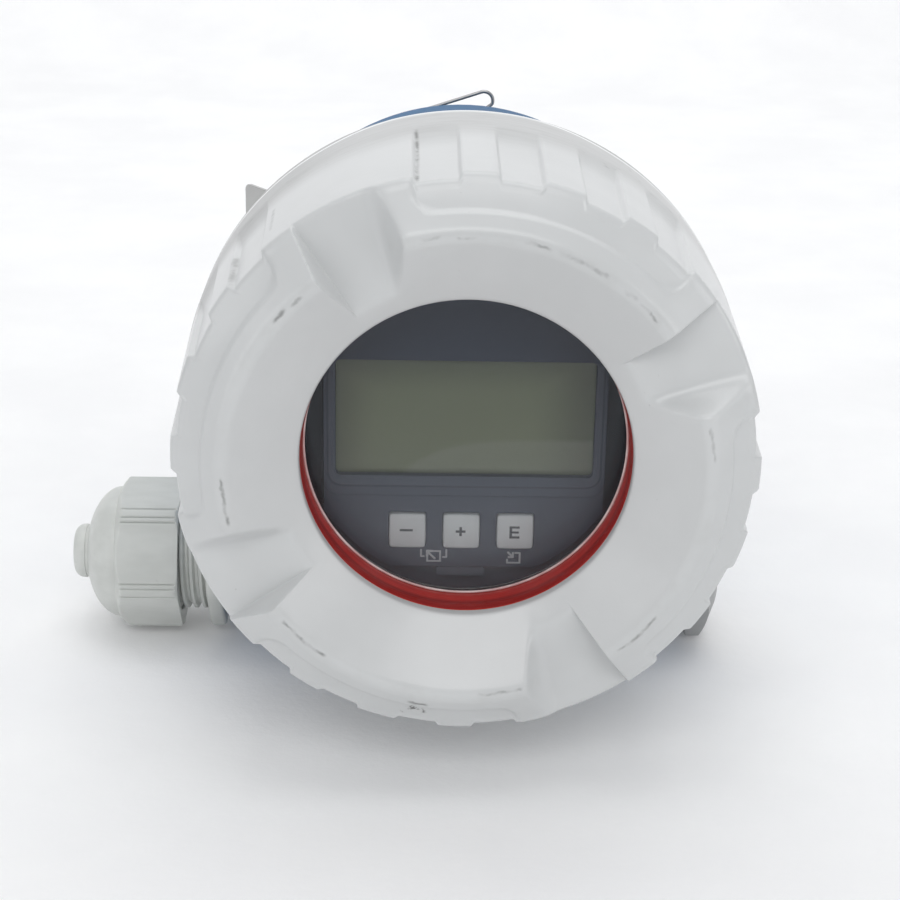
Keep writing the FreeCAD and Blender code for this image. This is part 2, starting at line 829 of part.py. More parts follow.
def gland_body():
    """Gland body: entry thread, hexagon collar, outer thread and a seat for the sealing insert."""
    collar = gasket_thickness + gland_collar_length
    end = collar + gland_thread_length
    start = -entry_thread_depth + 2.0
    seat_radius = insert_radius() + run_fit
    seat_start = end - gland_insert_depth
    core = turned([(gland_bore_radius, start), (entry_thread_radius - run_fit, start),
                   (entry_thread_radius - run_fit, gasket_thickness + 1.0), (gland_thread_radius, collar - 1.0),
                   (gland_thread_radius, end), (seat_radius, end), (seat_radius, seat_start),
                   (gland_bore_radius, seat_start)])
    hexagon_collar = chamfered_hexagon(gland_collar_flats, gasket_thickness, collar, edge_break,
                                       gland_view_angle - 30.0)
    bore = tube(0, gland_bore_radius, -1.0, collar + 1.0)
    return placed(core.fuse(hexagon_collar.cut(bore)).removeSplitter(), entry_base(-1), LEFT)


def gland_gasket():
    """Flat gasket under the gland's collar."""
    return placed(tube(entry_thread_radius, entry_boss_radius - 1.5, 0, gasket_thickness), entry_base(-1), LEFT)


def nut_start():
    """Distance from the entry's face to the open end of the gland nut."""
    return gasket_thickness + gland_collar_length + gland_nut_gap


def insert_radius():
    """Outer radius of the sealing insert where it sits in the gland body."""
    return gland_thread_radius - gland_insert_wall


def gland_nut():
    """Cap nut: wide flats, grooved corner strips, dome with a hole for the cable or the plug."""
    first = nut_start()
    last = first + gland_nut_length
    dome = last + gland_dome_length
    hole = gland_plug_radius + slip
    flats = hexagon(gland_nut_flats, first, last, gland_view_angle - 30.0)
    barrel = turned([(0, first), (gland_nut_corner_radius - 0.5, first), (gland_nut_corner_radius, first + 0.5),
                     (gland_nut_corner_radius, last - 1.6), (gland_dome_radius, last), (0, last)])
    cap = turned([(0, last - 0.5), (gland_dome_radius, last - 0.5),
                  ((gland_dome_radius * 0.82, last + gland_dome_length * 0.64), (hole + 0.7, dome)),
                  (hole, dome), (0, dome)])
    shell = flats.common(barrel).fuse(cap)
    bore = gland_thread_radius + gland_nut_clearance
    throat = insert_radius() + 1.4
    thread_end = first + gland_nut_length * 0.66
    hollow = turned([(0, first - 1.0), (bore, first - 1.0), (bore, thread_end), (throat, thread_end + 1.0),
                     (throat, last - 1.0), (hole, dome - 2.6), (hole, dome + 1.0), (0, dome + 1.0)])
    grooves = []
    for corner in range(6):
        for offset in (-gland_groove_angle, gland_groove_angle):
            foot = FreeCAD.Vector(gland_nut_corner_radius, 0, first)
            groove = Part.makeCylinder(gland_groove, gland_nut_length, foot)
            groove.rotate(FreeCAD.Vector(), UP, gland_view_angle + 60.0 * corner + offset)
            grooves.append(groove)
    return placed(minus(shell, [hollow] + grooves), entry_base(-1), LEFT)


def gland_insert():
    """Rubber sealing insert between gland body and nut, round the plug."""
    end = gasket_thickness + gland_collar_length + gland_thread_length
    last = nut_start() + gland_nut_length
    tip = last + gland_dome_length - 3.2
    bore = gland_plug_radius + seat
    start = end - gland_insert_depth + 0.5
    return placed(turned([(bore, start), (insert_radius(), start), (insert_radius(), end + 0.3),
                          (insert_radius() + 1.0, end + 0.6), (insert_radius() + 1.0, last - 1.4),
                          (gland_plug_radius + 0.4, tip), (bore, tip)]), entry_base(-1), LEFT)


def gland_plug():
    """Blanking plug in the gland, with a rounded end."""
    end = gasket_thickness + gland_collar_length + gland_thread_length
    tip = nut_start() + gland_nut_length + gland_dome_length + gland_plug_reach
    start = end - gland_insert_depth + 1.5
    shoulder = gland_plug_radius - gland_plug_round
    return placed(turned([(0, start), (gland_plug_radius, start), (gland_plug_radius, tip - gland_plug_round),
                          ((gland_plug_radius - 0.29 * gland_plug_round, tip - 0.29 * gland_plug_round),
                           (shoulder, tip)), (0, tip)]), entry_base(-1), LEFT)


def blind_plug():
    """Hexagon head plug with a tapered end, which closes the unused cable entry."""
    head_end = gasket_thickness + blind_head_length
    corner = blind_head_flats / math.sqrt(3.0)
    shank = turned([(0, -blind_thread_length), (entry_thread_radius - run_fit - 1.0, -blind_thread_length),
                    (entry_thread_radius - run_fit, -blind_thread_length + 1.0),
                    (entry_thread_radius - run_fit, gasket_thickness + 0.5), (0, gasket_thickness + 0.5)])
    taper = turned([(0, gasket_thickness), (corner - 1.0, gasket_thickness), (corner, gasket_thickness + 0.5),
                    (corner, head_end - blind_head_taper), (blind_head_face_radius, head_end), (0, head_end)])
    head = hexagon(blind_head_flats, gasket_thickness, head_end, -gland_view_angle - 30.0).common(taper)
    return placed(shank.fuse(head).removeSplitter(), entry_base(1), RIGHT)


def blind_plug_gasket():
    """Flat gasket under the blind plug's head."""
    outer = min(entry_boss_radius - 1.5, blind_head_flats / 2)
    return placed(tube(entry_thread_radius, outer, 0, gasket_thickness), entry_base(1), RIGHT)


def ground_screw():
    """Earth terminal screw."""
    face = ground_face()
    seat_face = face + ground_clamp_thickness
    top = seat_face + ground_head_height
    screw = turned([(0, face - ground_depth), (ground_screw_radius, face - ground_depth),
                    (ground_screw_radius, seat_face), (ground_head_radius, seat_face),
                    (ground_head_radius, top - edge_break), (ground_head_radius - edge_break, top), (0, top)])
    slot_corner = FreeCAD.Vector(-1.5 * ground_head_radius, -0.45, top - 1.0)
    slot = Part.makeBox(3 * ground_head_radius, 0.9, 1.0, slot_corner)
    return placed(screw.cut(slot), ground_base(), BACK)


def ground_clamp():
    """Square clamp washer under the earth terminal screw."""
    face = ground_face()
    corner = FreeCAD.Vector(-ground_clamp_size / 2, -ground_clamp_size / 2, face)
    plate = Part.makeBox(ground_clamp_size, ground_clamp_size, ground_clamp_thickness, corner)
    return placed(plate.cut(tube(0, ground_screw_radius + seat, face - 1.0, face + 3.0)), ground_base(), BACK)


def vent_plug():
    """Pressure compensation plug in the housing's rear wall."""
    shank = vent_radius - seat
    head = vent_radius + vent_head
    return placed(turned([(0, -vent_depth), (shank, -vent_depth), (shank, 0), (head, 0), (head, vent_head),
                          (head - edge_break, vent_head + edge_break), (0, vent_head + edge_break)]),
                  vent_base(), BACK)


def swivel_set_screw():
    """Set screw that locks the housing on its neck."""
    depth = neck_boss_radius - neck_radius - slip
    screw = tube(0, set_screw_radius - seat, -depth, -edge_break)
    socket = hexagon(set_screw_radius, -edge_break - set_screw_radius, 0.0)
    return placed(screw.cut(socket), set_screw_base(), UP)


def neck_groove():
    """Station where the groove of the neck's O-ring begins."""
    return boss_back - neck_boss_length - 1.0


def sensor_neck():
    """Turned neck in the housing's boss, with a groove for its O-ring and a bore for the leads."""
    front = boss_back - neck_engagement
    groove = neck_groove()
    deep = neck_radius - 2 * neck_o_ring_section
    end = groove + 3 * neck_o_ring_section
    return on_axis(turned([(lead_bore_radius, front), (neck_radius - 0.8, front), (neck_radius, front + 0.8),
                           (neck_radius, groove), (deep, groove), (deep, end), (neck_radius, end),
                           (neck_radius, collar_front), (lead_bore_radius, collar_front)]))


def neck_o_ring():
    """Seal of the swivelling neck."""
    middle = neck_groove() + 1.5 * neck_o_ring_section
    return on_axis(torus(neck_radius - neck_o_ring_section + seat / 2, neck_o_ring_section, middle))


def process_connection():
    """Collar, hexagon, sealing collar and threaded stud with its pressure port."""
    collar = turned([(0, collar_front), (collar_radius - 1.0, collar_front),
                     (collar_radius, collar_front + 1.0), (collar_radius, hex_front - 1.0),
                     (collar_radius - 1.0, hex_front), (0, hex_front)])
    hex_body = chamfered_hexagon(process_flats, hex_front, hex_back, 0.9, 30.0)
    stud_end = process_station + process_thread_length
    tip = stud_end + process_tip_length
    stud = turned([(0, hex_back), (sealing_collar_radius, hex_back), (sealing_collar_radius, process_station),
                   (process_thread_radius, process_station),
                   (process_thread_radius, stud_end - process_thread_chamfer),
                   (process_thread_radius - process_thread_chamfer, stud_end), (process_tip_radius, stud_end),
                   (process_tip_radius, tip - 0.5), (process_tip_radius - 0.5, tip), (0, tip)])
    cell_back = hex_front + cell_thickness()
    hollow = turned([(0, collar_front - 1.0), (cell_radius() + seat, collar_front - 1.0),
                     (cell_radius() + seat, cell_back), (process_port_radius * 2, cell_back),
                     (process_port_radius * 2, cell_back + 3.0), (process_port_radius, cell_back + 3.0),
                     (process_port_radius, tip + 1.0), (0, tip + 1.0)])
    return on_axis(collar.fuse([hex_body, stud]).cut(hollow).removeSplitter())


def cell_radius():
    """Radius of the measuring cell inside the hexagon."""
    return process_flats / 2 - 4.5


def cell_thickness():
    """Depth of the measuring cell's pocket beyond the collar."""
    return process_hex_length * 0.45


def sensor_cell():
    """Measuring cell between the neck and the pressure port."""
    return on_axis(tube(0, cell_radius(), collar_front + seat, hex_front + cell_thickness() - 1.5))


def sensor_seal():
    """Flat seal between the measuring cell and the process connection."""
    first = hex_front + cell_thickness() - 1.5
    return on_axis(tube(cell_radius() - 3.5, cell_radius(), first, first + 1.5))


def tag_frame():
    """Placement of the tag: local X along its top edge, local Y down, at its outer top corner."""
    corner = FreeCAD.Vector(tag_corner_x, bowl_back + tag_corner_behind - process_station, tag_top)
    turn = FreeCAD.Rotation(UP, -tag_turn).multiply(FreeCAD.Rotation(RIGHT, -90.0))
    return FreeCAD.Placement(corner, turn)


def tag_plate():
    """Blank metal tag with rounded corners and a hole at each end."""
    plate = Part.makeBox(tag_width, tag_drop, tag_thickness, FreeCAD.Vector(0, 0, -tag_thickness / 2))
    plate = plate.makeFillet(tag_corner, [edge for edge in plate.Edges if edge.Length < tag_thickness * 1.01])
    holes = []
    for depth in (tag_hole_inset, tag_drop - tag_hole_inset):
        centre = FreeCAD.Vector(tag_width - tag_hole_inset, depth, -2.0)
        holes.append(Part.makeCylinder(tag_hole_radius, 4.0, centre))
    plate = minus(plate, holes)
    plate.Placement = tag_frame()
    return plate


def tag_hole():
    """Centre of the tag's upper hole, near the edge that faces the housing."""
    return tag_frame().multVec(FreeCAD.Vector(tag_width - tag_hole_inset, tag_hole_inset, 0))


def wire_route():
    """Corner points and bend radii of the tag wire: up to a loop, through the tag, round the neck."""
    plane = boss_back + neck_length / 2 - process_station
    ring = neck_radius + wire_gap + wire_radius
    out = tag_frame().Rotation.multVec(UP)
    along = tag_frame().Rotation.multVec(RIGHT)
    eye = tag_hole() + UP * (tag_hole_radius - wire_radius - seat)
    inside = eye - out * 2.6
    round_edge = inside + along * (tag_hole_inset + 1.9)
    loop = FreeCAD.Vector(wire_loop_offset, plane, wire_loop_height)
    low_right = FreeCAD.Vector(ring, plane, 6.0)
    turn = loop + DOWN * wire_turn_drop
    knee = FreeCAD.Vector(wire_knee_offset, plane, wire_loop_height - wire_knee_drop)
    heading = (knee - low_right).normalize()
    start = low_right + heading * wire_tail
    return [(start, 0.0),
            (knee, wire_knee_round),
            (turn, wire_turn_round),
            (loop, wire_loop_round),
            (FreeCAD.Vector(-wire_crest_offset, plane, wire_loop_height - wire_crest_drop), wire_crest_round),
            (eye + out * 6.0, 3.0),
            (inside, 1.7),
            (round_edge, 1.7),
            (round_edge + out * 5.0 + UP * 3.0, 2.0),
            (FreeCAD.Vector(-ring, plane, 12.0), 4.0),
            (FreeCAD.Vector(-ring, plane, -ring), ring),
            (FreeCAD.Vector(ring, plane, -ring), ring),
            (low_right, 4.0),
            (start - heading * 0.2, 0.0)]


def bent_wire(route):
    """Straight runs joined by tangent arcs at the corner points."""
    edges = []
    here = route[0][0]
    for index in range(1, len(route) - 1):
        corner, radius = route[index]
        before = (route[index - 1][0] - corner).normalize()
        after = (route[index + 1][0] - corner).normalize()
        half = before.getAngle(after) / 2
        reach = radius / math.tan(half)
        first = corner + before * reach
        last = corner + after * reach
        bisector = (before + after).normalize()
        middle = corner + bisector * (radius / math.sin(half) - radius)
        if here.distanceToPoint(first) > 1e-4:
            edges.append(Part.LineSegment(here, first).toShape())
        edges.append(Part.Arc(first, middle, last).toShape())
        here = last
    edges.append(Part.LineSegment(here, route[-1][0]).toShape())
    return Part.Wire(edges)


def tag_wire():
    """Stiff round wire that holds the tag on the neck."""
    route = wire_route()
    path = bent_wire(route)
    heading = route[1][0] - route[0][0]
    section = Part.Wire(Part.makeCircle(wire_radius, route[0][0], heading))
    return path.makePipeShell([section], True, False)


def tag_ferrule():
    """Crimped sleeve over the joint of the wire."""
    route = wire_route()
    start = route[0][0]
    heading = (route[1][0] - start).normalize()
    sleeve = tube(wire_radius + seat, ferrule_radius, -ferrule_length / 2, ferrule_length / 2)
    return placed(sleeve, start, heading)


PARTS = {
    "display_cover": display_cover,
    "window_seal": window_seal,
    "window_glass": window_glass,
    "glass_ring": glass_ring,
    "cover_o_ring": cover_o_ring,
    "display_bezel": display_bezel,
    "lcd_panel": lcd_panel,
    "key_minus": lambda: key(key_centres()[0]),
    "key_plus": lambda: key(key_centres()[1]),
    "key_enter": lambda: key(key_centres()[2]),
    "key_mat": key_mat,
    "display_board": display_board,
    "display_shell": display_shell,
    "display_holder": display_holder,
    "electronics_insert": electronics_insert,
    "insert_screws": insert_screws,
    "housing_body": housing_body,
    "terminal_block": terminal_block,
    "terminal_screws": terminal_screws,
    "terminal_cover": terminal_cover,
    "terminal_cover_o_ring": terminal_cover_o_ring,
    "gland_body": gland_body,
    "gland_gasket": gland_gasket,
    "gland_nut": gland_nut,
    "gland_insert": gland_insert,
    "gland_plug": gland_plug,
    "blind_plug": blind_plug,
    "blind_plug_gasket": blind_plug_gasket,
    "ground_screw": ground_screw,
    "ground_clamp": ground_clamp,
    "vent_plug": vent_plug,
    "swivel_set_screw": swivel_set_screw,
    "sensor_neck": sensor_neck,
    "neck_o_ring": neck_o_ring,
    "process_connection": process_connection,
    "sensor_cell": sensor_cell,
    "sensor_seal": sensor_seal,
    "tag_plate": tag_plate,
    "tag_wire": tag_wire,
    "tag_ferrule": tag_ferrule,
}

os.makedirs("parts", exist_ok=True)
for node, make in PARTS.items():
    shape = make()
    print(node, len(shape.Solids), shape.isValid(), round(shape.Volume, 1))
    shape.exportStep("parts/" + node + ".step")
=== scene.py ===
import bmesh
import bpy
import math
import numpy as np
from mathutils import Matrix, Vector


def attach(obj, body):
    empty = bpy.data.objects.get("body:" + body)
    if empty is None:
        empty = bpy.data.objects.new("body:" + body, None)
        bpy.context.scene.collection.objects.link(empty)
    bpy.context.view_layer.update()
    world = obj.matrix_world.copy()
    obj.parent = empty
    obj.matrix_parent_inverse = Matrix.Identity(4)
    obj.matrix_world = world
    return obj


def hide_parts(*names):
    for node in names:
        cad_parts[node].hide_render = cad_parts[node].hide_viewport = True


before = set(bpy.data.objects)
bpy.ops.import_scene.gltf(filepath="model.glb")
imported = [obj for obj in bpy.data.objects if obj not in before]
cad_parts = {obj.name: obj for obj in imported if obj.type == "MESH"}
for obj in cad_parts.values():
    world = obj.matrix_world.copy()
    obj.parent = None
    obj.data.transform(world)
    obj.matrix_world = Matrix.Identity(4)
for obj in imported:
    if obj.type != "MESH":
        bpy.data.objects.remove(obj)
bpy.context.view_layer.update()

# Sizes are in millimetres, angles in degrees. A station runs backwards from the cover's shoulder plane. The cover's
# edge and grooves and the gland's dome and plug follow the photograph a little closer than the solids do.
PER_METRE = 1000.0
MM = 1.0 / PER_METRE
MERGE_METRES = 2e-7
LEAST_METRES = 1e-7

# Station of the process connection's face; offset, station and height of the cable entry; height of the table
PROCESS = 149.8
ENTRY = (50.0, 77.0, -49.2)
FLOOR = -66.32

# Centres and axes that pieces are turned about, and the angle above which their edges stay sharp
ORIGIN = (0.0, 0.0, 0.0)
MAIN = (0.0, -PROCESS, 0.0)
BACK = (0.0, 1.0, 0.0)
GLAND = (-ENTRY[0], ENTRY[1] - PROCESS, ENTRY[2])
OUT_LEFT = (-1.0, 0.0, 0.0)
TURNED_SHARP = 40.0

# Cover: window with its lip, ridge, corner of the crest, front edge, drafted side, rear end
WINDOW = 30.2
WINDOW_FOOT = 6.6
LIP = 4.75
LIP_ROUND = 0.85
LIP_RADIUS = 30.6
RIDGE = 43.5
CREST = (43.66, -3.62)
CREST_ROUND = 3.0
CREST_BAND = (41.5, 45.5)
SIDE_FRONT = 53.2
SHOULDER_END = 3.5
EDGE_ROUND = 1.3
EDGE_DRAFT = 0.03
SIDE_REAR = 54.6
SIDE_START = 3.0
SIDE_END = 39.0
COVER_END = 52.0

# Housing's bare spigot: station of its end, least radius, pitch of its thread
SPIGOT_END = (52.1, 52.2)
SPIGOT_RADIUS = 43.0
SPIGOT_PITCH = 2.0

# Notches: angle of the first, half width, floor's station at the window and its fall, walls in half widths
NOTCH_TURN = 27.3
NOTCH_HALF = 9.25
NOTCH_FLOOR = 2.4
NOTCH_FALL = 2.4
NOTCH_RISE = 7.0
STEEP_FOOT = -0.90
STEEP_RUN = 0.23
GENTLE_FOOT = 0.30
GENTLE_SHIFT = 0.32
GENTLE_RUN = 0.98
NOTCH_REACH = 1.9
NO_CUT = -30.0

# Grip zones: half width, inner edge with its corners, step and its easing, grooves as angles off the zone's middle
GRIP_HALF = 29.4
GRIP_START = 47.4
GRIP_CORNER = 3.6
GRIP_RADIUS = 50.0
GRIP_STEP = 0.8
GRIP_EASING = 0.35
GROOVES = ((4.2, 12.6), (20.0, 28.8))
GROOVE_START = 48.3
GROOVE_DEPTH = 1.1
GROOVE_FLANK = 0.5
GROOVE_FADE = (12.0, 1.0)

# Gland: turn of its hexagons, nut with its dome, sweep in radians, and corner strips, plug
GLAND_TURN = 21.0
NUT_FLATS = 30.0
NUT_CORNER = 16.62
NUT_FRONT = 23.7
DOME_RISE = 7.7
DOME_SWEEP = 1.063
DOME_LIP = 30.43
STRIP_LINES = (-6.0, 1.6, 5.6)
STRIP_WIDTH = 0.60
STRIP_DEPTH = 0.50
PLUG = 5.9
PLUG_TIP = 34.0


def place(x, station, z):
    """Points in metres from a sideways offset, a station and a height in millimetres."""
    return np.stack(np.broadcast_arrays(x, station - PROCESS, z), -1) * MM


def surface(name, points, along, sharp=TURNED_SHARP, around=True):
    """Quad mesh over a grid of points; a grid that closes on itself in either direction is joined there."""
    count, rows = points.shape[:2]
    a, b = np.meshgrid(np.arange(count if around else count - 1), np.arange(rows if along else rows - 1),
                       indexing="ij")
    a2 = (a + 1) % count
    b2 = (b + 1) % rows
    quads = np.stack([a * rows + b, a2 * rows + b, a2 * rows + b2, a * rows + b2], -1).reshape(-1, 4)
    mesh = bpy.data.meshes.new(name)
    mesh.from_pydata(points.reshape(-1, 3).tolist(), [], quads.tolist())
    return piece(name, mesh, sharp)


def piece(name, mesh, sharp):
    """Object from a mesh whose doubles are merged and whose faces are turned outwards."""
    work = bmesh.new()
    work.from_mesh(mesh)
    bmesh.ops.remove_doubles(work, verts=work.verts, dist=MERGE_METRES)
    bmesh.ops.dissolve_degenerate(work, edges=work.edges, dist=LEAST_METRES)
    bmesh.ops.recalc_face_normals(work, faces=work.faces)
    work.to_mesh(mesh)
    work.free()
    if "custom_normal" in mesh.attributes:
        mesh.attributes.remove(mesh.attributes["custom_normal"])
    mesh.polygons.foreach_set("use_smooth", np.ones(len(mesh.polygons), bool))
    mesh.set_sharp_from_angle(angle=math.radians(sharp))
    body = bpy.data.objects.new(name, mesh)
    bpy.context.scene.collection.objects.link(body)
    return body


def settle(body, finish, ride, slot, *stands_for):
    """Give a piece its finish, its moving body and the nodes it stands for; the slot argument is not used."""
    body.data.materials.clear()
    body.data.materials.append(finish)
    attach(body, ride)
    if stands_for:
        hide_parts(*stands_for)


def smoothstep(value, low, high):
    """Ease from 0 at low to 1 at high with a cubic."""
    share = np.clip((value - low) / (high - low), 0.0, 1.0)
    return share * share * (3.0 - 2.0 * share)


def larger(a, b, blend):
    """Larger of two arrays, with the corner between them eased over a width."""
    return 0.5 * (a + b + np.sqrt((a - b) ** 2 + blend ** 2))


def smaller(a, b, blend):
    """Smaller of two arrays, with the corner between them eased over a width."""
    return -larger(-a, -b, blend)


def rounded(corners, step=0.12):
    """Outline through (radius, height, round) corners: straight runs joined by tangent arcs of the round's radius."""
    points = []
    places = np.array(corners, float)[:, :2]
    for index, here in enumerate(places):
        bend = corners[index][2]
        if bend <= 0:
            points.append(here[None])
            continue
        back = places[index - 1] - here
        ahead = places[(index + 1) % len(places)] - here
        back /= np.linalg.norm(back)
        ahead /= np.linalg.norm(ahead)
        half = math.acos(np.clip(back @ ahead, -1, 1)) / 2
        reach = bend / math.tan(half)
        middle = (back + ahead) / np.linalg.norm(back + ahead) * bend / math.sin(half)
        first = back * reach - middle
        last = ahead * reach - middle
        sweep = math.atan2(first[0] * last[1] - first[1] * last[0], first @ last)
        turns = np.linspace(0.0, sweep, max(4, int(abs(sweep) * bend / step)))
        arc = np.stack([first[0] * np.cos(turns) - first[1] * np.sin(turns),
                        first[0] * np.sin(turns) + first[1] * np.cos(turns)], -1)
        points.append(here + middle + arc)
    return np.concatenate(points)


def lathe(outline, turns, centre, axis):
    """Outline of (radius, height) carried round a level axis: axis times height plus a turning arm times radius."""
    upward = np.array([0.0, 0.0, 1.0])
    turns = turns[:, None, None]
    arm = np.cos(turns) * upward + np.sin(turns) * np.cross(axis, upward)
    return (np.array(axis) * outline[..., 1:] + arm * outline[..., :1] + np.array(centre)) * MM


def ring_turns(count):
    """Evenly spaced angles round a full turn."""
    return np.arange(count) * 2 * math.pi / count


def one_input(operation):
    """Method that adds a Math node for an operation on a field."""
    return lambda self: self.add_math(operation, self)


def two_inputs(operation, swapped=False):
    """Method that adds a Math node for an operation on a field and a second value, which comes first if swapped."""
    return lambda self, other: self.add_math(operation, *((other, self) if swapped else (self, other)))


class Field:
    """A value that varies over a surface. Arithmetic on it adds Math nodes to its finish."""

    def __init__(self, finish, socket):
        self.finish = finish
        self.socket = socket

    def add_math(self, operation, *inputs):
        return self.finish.node("ShaderNodeMath", {"operation": operation}, dict(enumerate(inputs)))

    __add__ = two_inputs("ADD")
    __radd__ = two_inputs("ADD", True)
    __sub__ = two_inputs("SUBTRACT")
    __rsub__ = two_inputs("SUBTRACT", True)
    __mul__ = two_inputs("MULTIPLY")
    __truediv__ = two_inputs("DIVIDE")
    __pow__ = two_inputs("POWER")
    __lt__ = two_inputs("LESS_THAN")
    __gt__ = two_inputs("GREATER_THAN")
    __abs__ = one_input("ABSOLUTE")
    low = two_inputs("MINIMUM")
    high = two_inputs("MAXIMUM")
    root = one_input("SQRT")
    angle = two_inputs("ARCTAN2")
    fraction = one_input("FRACT")

    def __neg__(self):
        return self * -1.0

    def ease(self, low, high):
        """0 below low, 1 above high, with a cubic between."""
        return self.finish.node("ShaderNodeMapRange", {"interpolation_type": "SMOOTHSTEP"},
                                {0: self, 1: low, 2: high, 3: 0.0, 4: 1.0})

    def band(self, low, high, soft):
        """1 between low and high, easing to 0 over a soft edge outside."""
        return self.ease(low - soft, low) * (1.0 - self.ease(high, high + soft))


class Finish:
    """One material: nodes are added by type, and sizes and places on the surface are in millimetres."""

    def __init__(self, name):
        self.material = bpy.data.materials.new(name)
        self.material.use_nodes = True
        self.tree = self.material.node_tree
        self.shader = self.tree.nodes["Principled BSDF"]
        self.out = self.tree.nodes["Material Output"]
        self.coords = self.node("ShaderNodeTexCoord", {}, {}, "Object")

    def link(self, socket, value):
        """Set a socket's value, or join it to a field."""
        if isinstance(value, Field):
            self.tree.links.new(value.socket, socket)
        elif socket.type == "RGBA":
            socket.default_value = (*value, 1.0)
        else:
            socket.default_value = value

    def node(self, kind, settings, inputs, output=0):
        """Add a node of a type, set its settings, then its sockets, and return one output."""
        added = self.tree.nodes.new(kind)
        for key, value in settings.items():
            setattr(added, key, value)
        for key, value in inputs.items():
            self.link(added.inputs[key], value)
        return Field(self, added.outputs[output])

    def axes(self):
        """Sideways, backward and upward place on the surface, in millimetres."""
        parted = self.tree.nodes.new("ShaderNodeSeparateXYZ")
        self.link(parted.inputs[0], self.coords)
        return [Field(self, socket) * PER_METRE for socket in parted.outputs]

    def noise(self, size, detail=2.0, rough=0.5, stretch=(1.0, 1.0, 1.0), offset=0.0):
        """Noise whose grains are about a size in millimetres, stretched along the axes."""
        scale = tuple(PER_METRE / (size * part) for part in stretch)
        moved = self.node("ShaderNodeMapping", {}, {0: self.coords, 1: (offset, offset, offset), 3: scale})
        return self.node("ShaderNodeTexNoise", {},
                         {"Vector": moved, "Scale": 1.0, "Detail": detail, "Roughness": rough})

    def mix(self, factor, first, second):
        """Colour between two colours; sockets 6 and 7 and output 2 are the Mix node's colours."""
        return self.node("ShaderNodeMix", {"data_type": "RGBA"}, {0: factor, 6: first, 7: second}, 2)

    def bump(self, height, depth, strength=1.0, soft_edge=0.0):
        """Normal from a height field whose full step is a depth in millimetres, over edges eased by a radius."""
        inputs = {"Height": height, "Distance": depth * MM, "Strength": strength}
        if soft_edge > 0:
            inputs["Normal"] = self.node("ShaderNodeBevel", {"samples": 6}, {"Radius": soft_edge * MM})
        return self.node("ShaderNodeBump", {}, inputs)

    def set(self, shade, rough, normal, **values):
        """Set the shader's colour, roughness, normal and other sockets; underscores stand for spaces."""
        for key, value in {"Base_Color": shade, "Roughness": rough, "Normal": normal, **values}.items():
            self.link(self.shader.inputs[key.replace("_", " ")], value)
        return self.material


def ring_place(finish):
    """Distance from the main axis, angle round it in degrees seen from the front, and station of a point."""
    x, y, z = finish.axes()
    return (x * x + z * z).root(), z.angle(x) * (180.0 / math.pi), y + PROCESS


LIGHT_GREY = (0.615, 0.625, 0.625)
# Marks on the cover's face: first and last angle, radius, half width, darkness
RIDGE_MARKS = [(97.8, 100.9, 43.6, 0.30, 0.55), (89.5, 92.9, 43.3, 0.28, 0.45), (72.7, 77.6, 43.6, 0.30, 0.50),
               (58.0, 69.8, 43.6, 0.44, 0.42), (49.4, 52.2, 43.4, 0.42, 0.60),
               (42.7, 47.6, 43.2, 0.32, 0.65), (5.1, 12.5, 43.6, 0.30, 0.45), (-49.5, -38.0, 44.0, 0.34, 0.60),
               (-85.7, -75.9, 43.0, 0.32, 0.60), (-102.0, -98.4, 46.2, 0.40, 0.85),
               (-138.6, -126.1, 43.4, 0.36, 0.75), (-178.4, -167.3, 43.4, 0.34, 0.65),
               (137.0, 140.0, 44.0, 0.40, 0.70), (132.1, 134.4, 43.6, 0.30, 0.45)]
# Marks on the cover's side: angle, first and last station, half width, darkness. The chip has an angle and a radius.
SIDE_MARKS = [(100.5, 6.0, 35.0, 0.36, 0.85), (131.2, 14.0, 24.0, 0.40, 0.40), (142.3, 6.0, 20.0, 0.45, 0.50)]
CHIP = (-100.6, 49.2)
# Cover's rear band: stations over which its darker band comes and goes, painted highlight along the rim with its
# shift at the sides, painted shadow line behind the rim
BAND_START = (26.0, 40.0)
BAND_END = (49.0, 50.0)
RIM_HIGHLIGHT = (50.3, 50.8)
RIM_SHIFT = 2.3
RIM_SHADOW_LINE = (51.55, 51.75)
RIM_RADIUS = 53.0


def cover_marks(finish, radius, turn, station, face):
    """Share of paint that is gone from the cover: broken dashes along the ridge and down the side, and one chip."""
    breaks = finish.noise(2.6, offset=2.0).ease(0.36, 0.64)
    jitter = finish.noise(1.5, offset=4.0) - 0.5
    wander = (finish.noise(7.0, 1.0, 0.5, offset=9.0) - 0.5) * 0.9 + jitter * 0.9
    worn = None
    for first, last, middle, half, dark in RIDGE_MARKS:
        near = 1.0 - abs(radius + wander - middle).ease(0.0, half * 1.5)
        mark = near * turn.band(first + 0.5, last - 0.5, 1.6) * (breaks * 0.75 + 0.2) * dark
        worn = mark if worn is None else worn.high(mark)
    worn = worn * face
    for middle, first, last, half, dark in SIDE_MARKS:
        near = 1.0 - abs((turn - middle) * 0.92 + wander * 0.25).ease(0.0, half * 1.6)
        mark = near * station.band(first, last, 3.0) * (radius > 50.5) * (breaks * 0.6 + 0.3) * dark
        worn = worn.high(mark)
    aside = (turn - CHIP[0]) * 0.85
    outward = radius - CHIP[1]
    scar = 1.0 - (aside * aside * 0.20 + outward * outward * 0.30 + (breaks - 0.5) * 0.9).ease(0.35, 1.1)
    scar = scar * finish.noise(1.5, 3.0, 0.65, offset=4.4).ease(0.48, 0.62) * (station < 6.0) * (radius > 46.0)
    return worn.high(scar * 0.95)


